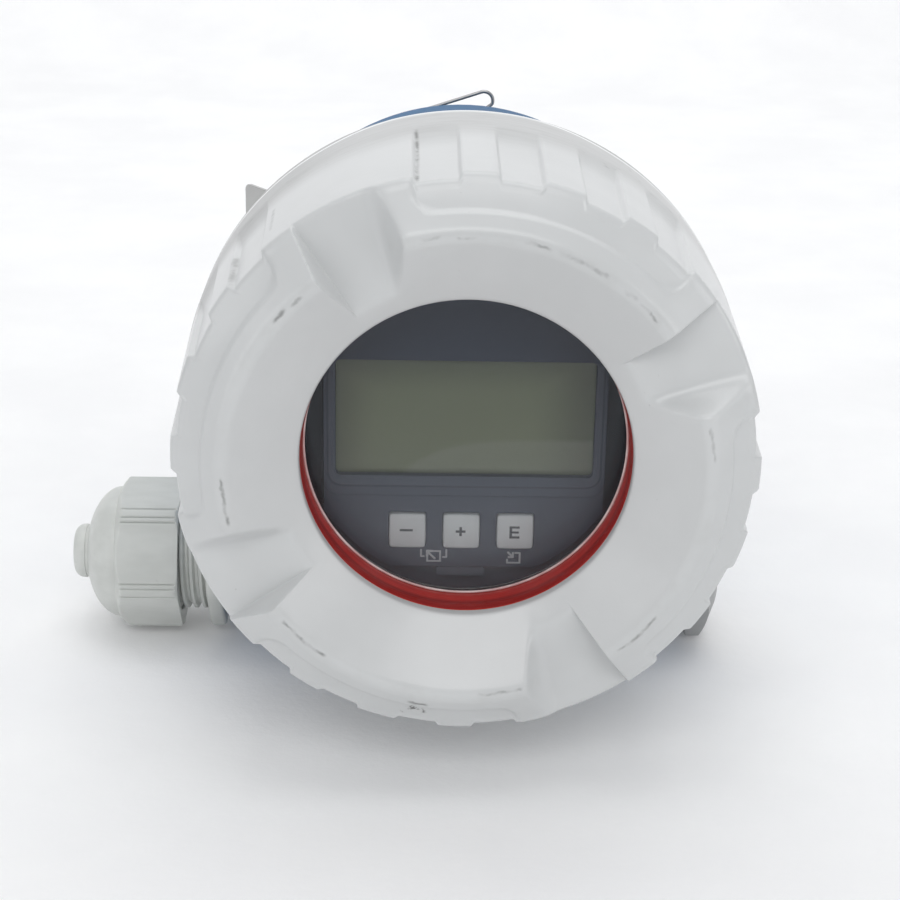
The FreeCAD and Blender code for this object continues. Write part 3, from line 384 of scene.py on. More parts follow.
def rear_band(finish, shade, radius, turn, station):
    """Colour of the cover with its rear band: streaked darkening, flecks at the sides, darker left, painted rim
    highlight and painted shadow line.
    """
    x = finish.axes()[0]
    aside = abs(x / radius)
    streak = finish.noise(1.1, 3.0, 0.6, stretch=(9.0, 1.0, 9.0), offset=12.0)
    behind = station.ease(*BAND_START) * (1.0 - station.ease(*BAND_END)) * (radius > 51.0)
    shade = finish.mix(behind * (0.44 + streak.ease(0.40, 0.70) * 0.16), shade, (0.27, 0.27, 0.265))
    fleck = finish.noise(1.0, 3.0, 0.6, stretch=(2.2, 1.0, 2.2), offset=15.0).ease(0.66, 0.72)
    shade = finish.mix(behind * fleck * aside.ease(0.3, 0.6) * 0.7, shade, (0.10, 0.10, 0.10))
    left = (-x / radius).ease(0.40, 0.80) * (1.0 - abs(turn).ease(160.0, 178.0))
    shade = finish.mix(behind * left * (0.42 + streak * 0.2), shade, (0.16, 0.16, 0.155))
    rim = station + aside.ease(0.20, 0.55) * RIM_SHIFT
    outside = radius > RIM_RADIUS
    # Painted highlight: the rim's rounded edge painted near white.
    shade = finish.mix(rim.ease(*RIM_HIGHLIGHT) * outside, shade, (0.90, 0.91, 0.91))
    # Painted shadow: a dark line behind the rim, where the gap to the housing lies in shade.
    return finish.mix(rim.ease(*RIM_SHADOW_LINE) * outside * 0.8, shade, (0.12, 0.12, 0.12))


def cover_paint(name, marked):
    """Thick light paint on a casting: a faint orange peel and specks; on the cover also a rubbed ridge and marks."""
    finish = Finish(name)
    peel = finish.noise(1.7, 2.0, 0.45)
    cast = finish.noise(9.0, offset=3.1)
    grain = finish.noise(0.35, 3.0, 0.6, offset=7.7)
    cloud = finish.noise(26.0, 3.0, 0.6, offset=1.3)
    shade = finish.mix(cloud.ease(0.3, 0.75), tuple(0.94 * part for part in LIGHT_GREY), LIGHT_GREY)
    patch = finish.noise(14.0, 1.0, 0.5, offset=5.0).ease(0.5, 0.7)
    speck = finish.noise(0.9, offset=11.0).ease(0.74, 0.80) * patch
    shade = finish.mix(speck * 0.35, shade, (0.32, 0.32, 0.31))
    rough = 0.27 + cloud * 0.08 + grain * 0.04
    relief = peel * 0.6 + cast * 1.6 + grain * 0.12
    if marked:
        radius, turn, station = ring_place(finish)
        face = station < 2.0
        worn = cover_marks(finish, radius, turn, station, face)
        rub = finish.noise(5.0, 3.0, 0.6, offset=6.0).ease(0.45, 0.75)
        rub = (1.0 - abs(radius - RIDGE).ease(0.5, 2.4)) * face * rub
        shade = finish.mix(rub * 0.12, shade, (0.42, 0.42, 0.40))
        shade = rear_band(finish, shade, radius, turn, station)
        shade = finish.mix(worn, shade, (0.13, 0.13, 0.125))
        rough = rough + worn * 0.3
        relief = relief - worn * 2.0
    return finish.set(shade, rough, finish.bump(relief, 0.045, 1.0, 0.0 if marked else 0.5), Coat_Weight=0.35,
                      Coat_Roughness=0.16)


def housing_paint():
    """Blue paint on the cast housing: orange peel, soft clouds of tone and a bare spigot with its thread."""
    finish = Finish("housing_blue_paint")
    peel = finish.noise(1.5, 2.0, 0.45)
    cast = finish.noise(8.0, offset=3.0)
    cloud = finish.noise(22.0, 3.0, 0.6, offset=1.0)
    radius, turn, station = ring_place(finish)
    bare = (1.0 - station.ease(*SPIGOT_END)) * (radius > SPIGOT_RADIUS)
    wave = ((station - turn * (SPIGOT_PITCH / 360.0)) / SPIGOT_PITCH).fraction()
    ridge = abs(wave - 0.5) * 2.0
    shade = finish.mix(cloud.ease(0.3, 0.7), (0.007, 0.090, 0.215), (0.011, 0.116, 0.265))
    metal = finish.mix(cloud, (0.50, 0.51, 0.52), (0.62, 0.63, 0.64))
    relief = (peel * 0.6 + cast * 1.6) * (1.0 - bare) + ridge * 9.0 * bare
    return finish.set(finish.mix(bare, shade, metal), 0.42 + cloud * 0.08, finish.bump(relief, 0.045, 1.0, 0.6),
                      Metallic=bare * 0.9, Coat_Weight=0.02, Coat_Roughness=0.25, Specular_IOR_Level=0.18)


def seal_rubber():
    """Red silicone of the window's lining, with a faint bloom, moulding lines, a painted shade band deep in the bore
    and a painted highlight at its front edge.
    """
    finish = Finish("red_silicone")
    station = ring_place(finish)[2]
    cloud = finish.noise(6.0, 3.0, 0.6, stretch=(1.0, 0.4, 1.0))
    bloom = finish.noise(1.2, offset=4.0).ease(0.55, 0.8)
    line = (station * 1.25).fraction()
    shade = finish.mix(cloud.ease(0.3, 0.7), (0.470, 0.026, 0.022), (0.560, 0.036, 0.028))
    shade = finish.mix(bloom * 0.07, shade, (0.55, 0.14, 0.12))
    # Painted shade: a dark band deep in the bore.
    shade = finish.mix(station.band(7.4, 9.4, 1.2) * 0.55, shade, (0.150, 0.004, 0.004))
    # Painted highlight: a brighter orange line at the lining's front edge.
    shade = finish.mix((1.0 - station.ease(6.7, 7.1)) * 0.6, shade, (0.620, 0.060, 0.035))
    relief = abs(line - 0.5) * 0.5 + cloud * 0.8
    return finish.set(shade, 0.36 + bloom * 0.12, finish.bump(relief, 0.05), Coat_Weight=0.05, Coat_Roughness=0.3,
                      Specular_IOR_Level=0.35, Subsurface_Weight=0.05)


def sight_glass():
    """Clear glass: full transparency under a mirror layer by its angle, and a film of dust, thicker low down, which
    also serves as a painted reflection of the floor.
    """
    finish = Finish("sight_glass")
    finish.tree.nodes.remove(finish.shader)
    clear = finish.node("ShaderNodeBsdfTransparent", {}, {"Color": (0.985, 0.99, 0.99)})
    mirror = finish.node("ShaderNodeBsdfGlossy", {}, {"Color": (0.42, 0.44, 0.47), "Roughness": 0.03})
    dust = finish.node("ShaderNodeBsdfDiffuse", {}, {"Color": (0.78, 0.80, 0.84)})
    z = finish.axes()[2]
    film = finish.noise(9.0, 3.0, 0.6)
    facing = finish.node("ShaderNodeFresnel", {}, {"IOR": 1.42})
    glazed = finish.node("ShaderNodeMixShader", {}, {0: facing, 1: clear, 2: mirror})
    # The dust film grows towards the bottom, where it also stands in for the floor's reflection: painted reflection.
    share = (1.0 - z.ease(-27.0, 6.0)) * (0.035 + film * 0.022) + 0.002
    coated = finish.node("ShaderNodeMixShader", {}, {0: share, 1: glazed, 2: dust})
    finish.link(finish.out.inputs["Surface"], coated)
    return finish.material


def edge_sealant():
    """Pale translucent bead between the glass and its red lining."""
    finish = Finish("pale_sealant")
    cloud = finish.noise(4.0)
    shade = finish.mix(cloud.ease(0.35, 0.7), (0.60, 0.40, 0.39), (0.76, 0.66, 0.64))
    return finish.set(shade, 0.25 + cloud * 0.1, finish.bump(cloud, 0.05), Coat_Weight=0.5, Coat_Roughness=0.08)


def moulded(name, dark, light, rough, grain=0.3, relief=0.02, edge=0.25):
    """Moulded plastic: a fine spark-eroded grain, soft clouds of tone and eased edges."""
    finish = Finish(name)
    fine = finish.noise(grain, 2.0, 0.6)
    cloud = finish.noise(12.0, 3.0, 0.6, offset=2.0)
    shade = finish.mix(cloud.ease(0.3, 0.7), dark, light)
    return finish.set(shade, rough + fine * 0.12, finish.bump(fine + cloud * 0.8, relief, 1.0, edge))


def holder_finish():
    """Dark carrier of the display, paler towards its lower edge, with painted shade that darkens it upwards where the
    cover's rim shades it.
    """
    finish = Finish("holder_plastic")
    fine = finish.noise(0.3, 2.0, 0.6)
    cloud = finish.noise(12.0, 3.0, 0.6, offset=2.0)
    shade = finish.mix(cloud.ease(0.3, 0.7), (0.100, 0.112, 0.145), (0.115, 0.128, 0.162))
    # Painted shade: darker towards the top, standing in for the shade under the cover's rim.
    shade = finish.mix(finish.axes()[2].ease(-28.0, -12.0), shade, (0.030, 0.034, 0.046))
    return finish.set(shade, 0.48 + fine * 0.12, finish.bump(fine, 0.004, 1.0, 0.25))


# Keys: node, moving body and offset; height, rear station, y in front of which marks are printed, squareness
KEYS = [("key_minus", "minus_button", -10.65), ("key_plus", "plus_button", -0.35),
        ("key_enter", "enter_button", 9.95)]
KEY_HEIGHT = -20.4
KEY_REAR = 25.35
KEY_MARK_Y = -128.45
KEY_POWER = 16.0
# Marks of the keys as upright boxes: centre from the key's own, half sizes
KEY_STROKES = {
    "key_minus": [(-0.20, 0.15, 1.25, 0.23)],
    "key_plus": [(-0.12, 0.0, 0.94, 0.24), (-0.12, 0.0, 0.24, 0.94)],
    "key_enter": [(-0.82, -0.05, 0.26, 1.26), (-0.10, 0.98, 0.98, 0.23), (-0.18, -0.05, 0.90, 0.21),
                  (-0.10, -1.08, 0.98, 0.23)],
}
STROKE_EASE = 0.04

# Icons under the keys: a bracketed box with an arrow to its upper left and a box with an arrow into it. Slanted
# strokes have a centre and a half length. Icons are printed in front of a y.
ICON_STROKES = [(-5.55, -24.87, 1.42, 0.18), (-5.55, -26.93, 1.42, 0.18), (-6.79, -25.90, 0.18, 1.03),
                (-4.31, -25.90, 0.18, 1.03), (-7.98, -25.29, 0.17, 0.81), (-7.70, -25.97, 0.40, 0.17),
                (-3.12, -25.35, 0.17, 0.88), (-3.44, -26.10, 0.45, 0.17), (-6.32, -24.86, 0.66, 0.24),
                (-6.80, -25.36, 0.24, 0.66), (9.82, -27.10, 1.38, 0.18), (11.02, -26.08, 0.18, 1.02),
                (8.62, -26.72, 0.18, 0.40), (10.58, -25.06, 0.58, 0.18), (9.28, -25.95, 0.55, 0.20),
                (9.70, -25.48, 0.20, 0.58)]
ICON_SLANTS = [(-6.02, -25.72, 1.10), (9.20, -25.42, 0.78)]
ICON_Y = -127.0
DIAGONAL = 0.7071

# Raised border of the display front: half width, foot and round of its corner, top. Height of the ledge below it,
# where a painted shadow line runs; panel's cells.
BORDER_HALF = 23.1
BORDER_FOOT = -8.6
BORDER_ROUND = 2.6
BORDER_TOP = 13.5
LEDGE_HEIGHT = -13.3
PIXELS_PER_MM = 2.2


def within(value, half):
    """1 where a value is no further from 0 than a half size, with a narrow eased edge."""
    return 1.0 - abs(value).ease(half - STROKE_EASE, half + STROKE_EASE)


def stroke_boxes(x, z, boxes):
    """1 inside any of the upright boxes given by their centre and half sizes, with eased edges."""
    inside = None
    for middle_x, middle_z, half_x, half_z in boxes:
        part = within(x - middle_x, half_x) * within(z - middle_z, half_z)
        inside = part if inside is None else inside.high(part)
    return inside


def key_finish(node, centre):
    """Light key with its dark printed mark, made of upright boxes about the key's centre."""
    finish = Finish(node + "_plastic")
    x, y, z = finish.axes()
    fine = finish.noise(0.25, 2.0, 0.6)
    cloud = finish.noise(3.0, 3.0, 0.6, offset=centre)
    front = y < KEY_MARK_Y
    boxes = [(centre + dx, KEY_HEIGHT + dz, half_x, half_z) for dx, dz, half_x, half_z in KEY_STROKES[node]]
    mark = stroke_boxes(x, z, boxes) * front * (0.86 + fine * 0.2).low(1.0)
    shade = finish.mix(cloud.ease(0.3, 0.7), (0.85, 0.86, 0.86), (0.90, 0.91, 0.91))
    shade = finish.mix(mark, shade, (0.035, 0.037, 0.045))
    return finish.set(shade, 0.42 + fine * 0.1, finish.bump(fine, 0.012))


def bezel_finish():
    """Dark blue-grey display front: painted shade towards the top, lighter raised border with a painted shadow line
    along its foot, a painted shadow line along the ledge below, printed white icons under the keys.
    """
    finish = Finish("display_front_plastic")
    x, y, z = finish.axes()
    fine = finish.noise(0.28, 2.0, 0.6)
    cloud = finish.noise(14.0, offset=2.0)
    dust = finish.noise(0.7, offset=8.0).ease(0.73, 0.78)
    sideways = (abs(x) - BORDER_HALF).high(0.0)
    downwards = (BORDER_FOOT - z).high(0.0)
    beyond = (sideways * sideways + downwards * downwards).root() - BORDER_ROUND
    border = (1.0 - beyond.ease(-0.1, 0.1)) * (1.0 - z.ease(BORDER_TOP - 0.5, BORDER_TOP + 0.5))
    shade = finish.mix(cloud.ease(0.3, 0.7), (0.072, 0.084, 0.120), (0.080, 0.093, 0.130))
    # Painted shade: darker towards the top, where the cover's rim shades the display.
    shade = finish.mix(z.ease(-12.0, 18.0), shade, (0.033, 0.042, 0.072))
    shade = finish.mix(border * 0.50, shade, (0.096, 0.110, 0.146))
    # Painted shadow: a thin dark line along the foot of the raised border.
    shade = finish.mix(beyond.band(0.0, 0.25, 0.12) * (z < BORDER_TOP) * 0.5, shade, (0.022, 0.027, 0.038))
    # Painted shadow: a thin dark line along the ledge below the border.
    ledge_shadow = (1.0 - abs(z - LEDGE_HEIGHT).ease(0.05, 0.22)) * (1.0 - abs(x).ease(21.5, 23.0))
    shade = finish.mix(ledge_shadow * 0.45, shade, (0.024, 0.029, 0.040))
    icons = stroke_boxes(x, z, ICON_STROKES)
    for middle_x, middle_z, half in ICON_SLANTS:
        along = (x - middle_x - (z - middle_z)) * DIAGONAL
        across = (x - middle_x + (z - middle_z)) * DIAGONAL
        icons = icons.high((1.0 - abs(across).ease(0.17, 0.25)) * within(along, half))
    shade = finish.mix(dust * 0.25, shade, (0.30, 0.31, 0.32))
    shade = finish.mix(icons * 0.9 * (y < ICON_Y), shade, (0.72, 0.73, 0.74))
    return finish.set(shade, 0.44 + fine * 0.10, finish.bump(fine, 0.0015, 1.0, 0.25))


def lcd_finish():
    """Blank liquid crystal panel: grey-green, lighter below with painted shade at its top and edges, a faint pixel
    grid and a painted reflection low on its right.
    """
    finish = Finish("display_panel_glass")
    x, z = finish.axes()[::2]
    cloud = finish.noise(18.0)
    columns, rows = (abs((axis * PIXELS_PER_MM).fraction() - 0.5) > 0.44 for axis in (x, z))
    # Painted shade: the panel is darker above, where the cover's rim shades it.
    lower = 1.0 - z.ease(-9.0, 12.0)
    shade = finish.mix(lower, (0.186, 0.208, 0.124), (0.222, 0.240, 0.146))
    shade = finish.mix(cloud.ease(0.3, 0.7) * 0.3, shade, (0.200, 0.222, 0.138))
    shade = finish.mix(columns.high(rows) * 0.05, shade, (0.09, 0.10, 0.075))
    # Painted shade along the panel's sides, top and lower edge, where the recess shades it.
    edge_shade = abs(x + 2.0).ease(14.0, 25.5).high(z.ease(6.0, 14.0)).high(1.0 - z.ease(-9.3, -8.4))
    shade = finish.mix(edge_shade * 0.55, shade, (0.055, 0.063, 0.044))
    # Painted reflection: lighter below a curved line in the panel's lower right; bow shapes that line.
    bow = (1.0 - ((x + 12.0) / 36.0).high(0.0).low(1.0)) ** 5.0
    painted_reflection = 1.0 - (z + 2.2 + bow * 7.0).ease(-0.9, 0.5)
    shade = finish.mix(painted_reflection * 0.42, shade, (0.29, 0.305, 0.245))
    return finish.set(shade, 0.36 + cloud * 0.06, finish.bump(cloud, 0.02, 0.3), Coat_Weight=0.10,
                      Coat_Roughness=0.2)


def gland_finish():
    """Light grey polyamide of the gland: flow clouds, fine grain, faint rings left by the tool."""
    finish = Finish("gland_polyamide")
    x = finish.axes()[0]
    fine = finish.noise(0.3, 3.0, 0.6)
    flow = finish.noise(7.0, 3.0, 0.6, stretch=(2.5, 1.0, 1.0))
    line = abs((x * 0.9).fraction() - 0.5)
    shade = finish.mix(flow.ease(0.3, 0.7), (0.57, 0.585, 0.56), (0.64, 0.655, 0.63))
    grime = finish.noise(2.2, 4.0, 0.65, offset=5.0).ease(0.62, 0.78)
    shade = finish.mix(grime * 0.18, shade, (0.30, 0.29, 0.27))
    return finish.set(shade, 0.36 + fine * 0.1, finish.bump(fine * 0.7 + flow * 1.5 + line * 0.4, 0.025),
                      Coat_Weight=0.1, Coat_Roughness=0.25)


def steel(name, tone, rough, stretch, edge=0.2):
    """Brushed or turned steel: long fine scratches along one direction, with smudges."""
    finish = Finish(name)
    brush = finish.noise(0.22, 3.0, 0.6, stretch=stretch)
    smudge = finish.noise(8.0, 3.0, 0.6, offset=3.0)
    shade = finish.mix(brush.ease(0.3, 0.7), tuple(0.88 * part for part in tone), tone)
    shade = finish.mix(smudge.ease(0.55, 0.8) * 0.18, shade, tuple(0.6 * part for part in tone))
    return finish.set(shade, rough + brush * 0.12 + smudge * 0.06, finish.bump(brush, 0.006, 1.0, edge),
                      Metallic=1.0)


def rubber():
    """Black rubber with a dusty bloom."""
    finish = Finish("black_rubber")
    fine = finish.noise(0.4, 3.0, 0.6)
    bloom = finish.noise(5.0, 3.0, 0.6, offset=2.0).ease(0.45, 0.8)
    shade = finish.mix(bloom * 0.4, (0.022, 0.022, 0.023), (0.072, 0.072, 0.073))
    return finish.set(shade, 0.62 + fine * 0.15, finish.bump(fine, 0.03))


def circuit_board():
    """Green board with lighter traces."""
    finish = Finish("circuit_board")
    x, z = finish.axes()[::2]
    fine = finish.noise(0.5)
    trace = (abs((x * 0.45).fraction() - 0.5) < 0.12).high(abs((z * 0.38).fraction() - 0.5) < 0.10)
    patch = finish.noise(5.0, 1.0, 0.5).ease(0.48, 0.52)
    shade = finish.mix(trace * patch, (0.012, 0.085, 0.040), (0.030, 0.150, 0.070))
    return finish.set(shade, 0.35 + fine * 0.1, finish.bump(trace * patch, 0.03))


def outlines(count, *parts):
    """Grid of (radius, height) rows for a number of angles. A part is an array of points that is the same all round,
    or a radius and a height that change with the angle."""
    grids = []
    for part in parts:
        radius, height = part if isinstance(part, tuple) else part.T
        shape = (count, np.broadcast_shapes(np.shape(radius), np.shape(height))[-1])
        grids.append(np.stack([np.broadcast_to(radius, shape), np.broadcast_to(height, shape)], -1))
    return np.concatenate(grids, 1)


def over_face(first, change, radius):
    """Value that changes evenly from the window to the cover's outer edge."""
    return first + change * (radius - WINDOW) / (SIDE_REAR - WINDOW)


def off_grip(turn):
    """Angle to either side of the nearest grip zone's middle."""
    return np.abs((turn - NOTCH_TURN) % 90.0 - 45.0)


def notch_cut(radius, turn):
    """Station of the notch's cut at a radius and angle: a steep straight wall, a floor that falls outwards and a
    gentle wall that rises by a square."""
    share = -((turn - NOTCH_TURN + 45.0) % 90.0 - 45.0) / NOTCH_HALF
    floor = over_face(NOTCH_FLOOR, NOTCH_FALL, radius)
    rise = floor + NOTCH_RISE
    foot = over_face(GENTLE_FOOT, GENTLE_SHIFT, radius)
    steep = floor - rise * np.clip((STEEP_FOOT - share) / STEEP_RUN, 0.0, None)
    gentle = floor - rise * np.clip((share - foot) / GENTLE_RUN, 0.0, None) ** 2.0
    cut = smaller(smaller(steep, gentle, 0.25), floor, 0.9)
    return np.where(np.abs(share) < NOTCH_REACH, cut, NO_CUT)


def grip_zone(radius, turn):
    """1 in the stepped part of a grip zone and 0 outside it: a box in arc length and radius with rounded corners."""
    beyond = (off_grip(turn) - GRIP_HALF) * math.radians(1.0) * GRIP_RADIUS
    inside = GRIP_START - radius
    corner = np.hypot(np.maximum(beyond + GRIP_CORNER, 0.0), np.maximum(inside + GRIP_CORNER, 0.0)) - GRIP_CORNER
    distance = np.maximum(corner, np.minimum(np.maximum(beyond, inside), 0.0))
    return 1.0 - smoothstep(distance, -0.45, 0.35)


def groove_share(turn):
    """1 in a groove of a grip zone and 0 on its ribs, with flanks eased over one degree."""
    off = off_grip(turn)
    share = np.zeros_like(off)
    for first, last in GROOVES:
        begun = smoothstep(off, first - GROOVE_FLANK, first + GROOVE_FLANK)
        ended = smoothstep(off, last - GROOVE_FLANK, last + GROOVE_FLANK)
        share = np.maximum(share, begun * (1.0 - ended))
    return share


def cover_turns():
    """Angles round the cover, crowded at the notch walls and the groove flanks: one quarter, four times."""
    quarter_end = 73.6
    closest = 0.12
    edges = np.array([45.0 + side * off for off in np.ravel(GROOVES) for side in (-1.0, 1.0)])
    edges = np.where(edges > quarter_end, edges - 90.0, edges)
    near = np.array([-0.7, -0.45, -0.2, 0.05, 0.3, 0.55])
    flanks = (edges[:, None] + near[None]).ravel()
    plain = np.arange(13.0, quarter_end, 1.6)
    walls = np.concatenate([np.linspace(-14.6, -3.0, 32), np.linspace(-2.2, 6.6, 8), np.linspace(7.0, 12.0, 26)])
    quarter = np.unique(np.round(np.concatenate([flanks, plain, walls]), 2))
    quarter = quarter[np.concatenate([[True], np.diff(quarter) > closest])]
    quarter = quarter[quarter < quarter_end]
    return np.concatenate([NOTCH_TURN + 90.0 * index + quarter for index in range(4)])


def on_line(radii, first, last):
    """Points at given radii on the straight line between two (radius, station) points."""
    return np.stack([radii, np.interp(radii, [first[0], last[0]], [first[1], last[1]])], -1)


def edge_start(groove):
    """Radius at which the shoulder begins to turn into the side, which lies further in at a groove."""
    return SIDE_FRONT - GROOVE_DEPTH * groove - EDGE_ROUND


def cover_front(turn, groove):
    """Radius and station over the cover's front at each angle. The station is the larger of the plain dish, with the
    grip zone's step, and the notch's cut; the step is eased towards the edge."""
    dish = rounded([(WINDOW, WINDOW_FOOT, 0), (WINDOW, LIP, LIP_ROUND), (*CREST, CREST_ROUND),
                    (SIDE_FRONT, SHOULDER_END, 0)], 0.28)
    inner = dish[dish[:, 0] < CREST_BAND[0]]
    crest = dish[(dish[:, 0] >= CREST_BAND[0]) & (dish[:, 0] < CREST_BAND[1])]
    funnel = on_line(np.linspace(inner[-1, 0], crest[0, 0], 16)[1:-1], inner[-1], crest[0])
    outward = np.concatenate([np.linspace(45.6, 46.4, 3), np.linspace(46.7, GROOVE_START, 11),
                              np.linspace(48.7, edge_start(0.0), 7)])
    shoulder = on_line(outward, crest[-1], (SIDE_FRONT, SHOULDER_END))
    plain = np.concatenate([inner, funnel, crest, shoulder])
    plain_radius, plain_station = plain.T[:, None]
    radius = plain_radius + 0.0 * turn
    spread = np.clip((radius - GROOVE_START) / (edge_start(0.0) - GROOVE_START), 0.0, 1.0)
    radius = np.where(radius > GROOVE_START, GROOVE_START + spread * (edge_start(groove) - GROOVE_START), radius)
    dished = np.interp(radius, plain[len(inner):, 0], plain[len(inner):, 1])
    dished = np.where(plain_radius <= inner[-1, 0], plain_station, dished)
    step = grip_zone(radius, turn) * (GRIP_STEP - GRIP_EASING * smoothstep(radius, 48.6, SIDE_FRONT))
    cut = notch_cut(radius, turn)
    soft = 0.45 + 0.5 * smoothstep((NOTCH_TURN - turn + 45.0) % 90.0 - 45.0, 2.0, 8.0)
    return radius, np.where(plain_radius <= LIP_RADIUS, dished, larger(dished + step, cut, soft))


def cover_edge(radius, station, groove):
    """Radius and station of the curve that carries the front's last slope over into the side."""
    start = edge_start(groove)
    slope = (station[:, -1:] - station[:, -2:-1]) / (radius[:, -1:] - radius[:, -2:-1])
    bend = np.linspace(0.0, 1.0, 9)[None, 1:]
    wall = SIDE_FRONT + EDGE_DRAFT - GROOVE_DEPTH * groove
    drop = slope * (wall - start) * bend * (1.0 - bend)
    return (start + (wall - start) * (1.0 - (1.0 - bend) ** 2),
            station[:, -1:] + drop + (1.0 + 0.8 * np.abs(slope)) * bend ** 2)


def cover_side(first, groove):
    """Radius and station down the drafted side from its first station; the grooves fade out towards the rear."""
    down = np.concatenate([np.linspace(0.0, 1.0, 15)[1:] * 0.955, np.linspace(0.965, 1.03, 9)])[None]
    station = first + down * (SIDE_END - first)
    behind = np.clip((station - SIDE_START) / (SIDE_END - SIDE_START), 0.0, 1.0)
    draft = SIDE_FRONT + (SIDE_REAR - SIDE_FRONT) * behind
    fade = 1.0 - smoothstep(station, SIDE_END - GROOVE_FADE[0], SIDE_END - GROOVE_FADE[1])
    return draft - GROOVE_DEPTH * groove * fade, station


def display_cover():
    """Screw cover: at each angle an outline runs over the front, the edge, the grooved side, the rear and inside."""
    turn = cover_turns()[:, None]
    groove = groove_share(turn)
    front = cover_front(turn, groove)
    edge = cover_edge(*front, groove)
    side = cover_side(edge[1][:, -1:], groove)
    rear = rounded([(SIDE_REAR, 41.0, 0), (SIDE_REAR, 46.0, 0), (SIDE_REAR, COVER_END, 0.6), (51.3, COVER_END, 0.3),
                    (51.3, 48.0, 0), (49.0, 48.0, 0.2), (49.0, 34.0, 0), (47.0, 34.0, 0), (47.0, 8.0, 0),
                    (45.0, 6.0, 0), (39.7, 6.0, 0), (38.7, 7.0, 0), (38.7, 22.2, 0.3), (35.1, 22.2, 0.2),
                    (35.1, 12.5, 0), (31.55, 12.5, 0), (31.55, WINDOW_FOOT, 0)])
    grid = outlines(len(turn), front, edge, side, rear)
    angle = np.radians(turn)
    points = place(grid[..., 0] * np.cos(angle), grid[..., 1], grid[..., 0] * np.sin(angle))
    return surface("display_cover_casting", points, True, 48.0)


def window_lining():
    """Red sleeve of the window with a swelling bore and a flange behind the glass's edge."""
    outline = rounded([(30.25, 6.62, 0.3), (31.5, 6.62, 0), (31.5, 12.5, 0), (34.8, 12.5, 0), (34.8, 14.5, 0),
                       (30.2, 14.48, 0.3), (29.95, 12.6, 2.0), (29.92, 8.6, 2.0)], 0.15)
    return surface("window_lining", lathe(outline, ring_turns(224), MAIN, BACK), True)


def glass_bead():
    """Bead round the glass at the foot of the lining: a small oval section carried round the axis."""
    section = np.linspace(0.0, 2 * math.pi, 13)[:-1]
    outline = np.stack([29.92 + 0.26 * np.cos(section), 14.26 + 0.22 * np.sin(section)], -1)
    return surface("glass_edge_bead", lathe(outline, ring_turns(224), MAIN, BACK), True, 60.0)


def key_cap(node, centre):
    """Square key: rings of a rounded square shrink over a bevel to a crowned top; the flange behind is plain."""
    turn = ring_turns(96)[:, None]
    rows = np.array([(4.5, KEY_REAR, 0.6), (4.5, 24.66, 0.6), (3.5, 24.66, 0.6), (3.5, 22.0, 0.6), (3.5, 21.62, 0.6),
                     (3.49, 21.38, 0.6), (3.44, 21.26, 0.62), (3.34, 21.18, 0.6), (3.22, 21.13, 0.55),
                     (3.05, 21.11, 0.5), (1.8, 21.12, 0.4), (0.9, 21.13, 0.2), (0.0, 21.13, 0.0)])
    half, station, bend = rows.T[:, None]
    squared = (np.abs(np.cos(turn)) ** KEY_POWER + np.abs(np.sin(turn)) ** KEY_POWER) ** (-1.0 / KEY_POWER)
    reach = half * squared - bend * (squared - 1.0) * 0.3
    grid = outlines(len(turn), (np.zeros((1, 1)), KEY_REAR), (reach, station))
    return surface(node + "_cap", place(centre + grid[..., 0] * np.cos(turn), grid[..., 1],
                                        KEY_HEIGHT + grid[..., 0] * np.sin(turn)), False)


def hexagon_radius(turn, flats, corner_turn, corner):
    """Distance from the axis to a hexagon's side at an angle, held within the radius of its eased corners."""
    off = (np.degrees(turn) - corner_turn) % 60.0 - 30.0
    near = 0.5 * flats / np.cos(np.radians(off))
    return smaller(near, np.full_like(near, corner), 0.25)


def screw_radius(turn, height, root, crest, pitch):
    """Radius of a screw thread: a flat-topped wave of the height less the turn's share of the pitch."""
    wave = np.abs(((height / pitch - turn / (2 * math.pi)) % 1.0) - 0.5) * 2.0
    return root + (crest - root) * smoothstep(wave, 0.22, 0.74)


def gland_nut():
    """Cap nut: at each angle the radius is the smaller of the hexagon, less the fine grooves of its corner strips,
    and a turned barrel. The strips are mirrored on the upper half. A dome closes the nut down to its hole."""
    corners = GLAND_TURN + 60.0 * np.arange(6)[:, None] + np.linspace(-7.0, 7.0, 29)[None]
    turn = np.radians(np.unique(np.concatenate([np.arange(0.0, 360.0, 1.5), corners.ravel() % 360.0])))
    turn = turn[np.concatenate([[True], np.diff(turn) > 1e-3])][:, None]
    off = ((np.degrees(turn) - GLAND_TURN + 30.0) % 60.0 - 30.0) * np.where(np.cos(turn) > 0.0, -1.0, 1.0)
    lines = sum(np.exp(-((off - middle) / STRIP_WIDTH) ** 2) for middle in STRIP_LINES)
    outer = np.concatenate([np.linspace(10.1, 10.7, 6), np.linspace(11.4, 21.6, 12),
                            np.linspace(21.9, NUT_FRONT, 12)])[None]
    barrel = smaller(16.6 - 0.9 * np.clip(10.7 - outer, 0, None), 16.75 - 1.5 * np.clip(outer - 22.1, 0.0, None), 0.2)
    strips = STRIP_DEPTH * lines * smoothstep(outer, 10.3, 10.9)
    shape = hexagon_radius(turn, NUT_FLATS, GLAND_TURN, NUT_CORNER) - strips
    face = smaller(shape + 0.0 * outer, barrel + 0.0 * turn, 0.25)
    dome_turn = np.linspace(0.0, DOME_SWEEP, 20)[None]
    dome = (face[:, -1:] * np.cos(dome_turn), NUT_FRONT + DOME_RISE * np.sin(dome_turn))
    inside = rounded([(6.75, DOME_LIP, 0), (6.2, DOME_LIP, 0.35), (6.2, 26.4, 0), (11.0, 22.7, 0), (11.0, 20.1, 0),
                      (12.8, 19.1, 0), (12.8, 10.4, 0), (13.2, 10.1, 0)])
    grid = outlines(len(turn), (face, outer), dome, inside)
    return surface("gland_cap_nut", lathe(grid, turn[:, 0], GLAND, OUT_LEFT), True)


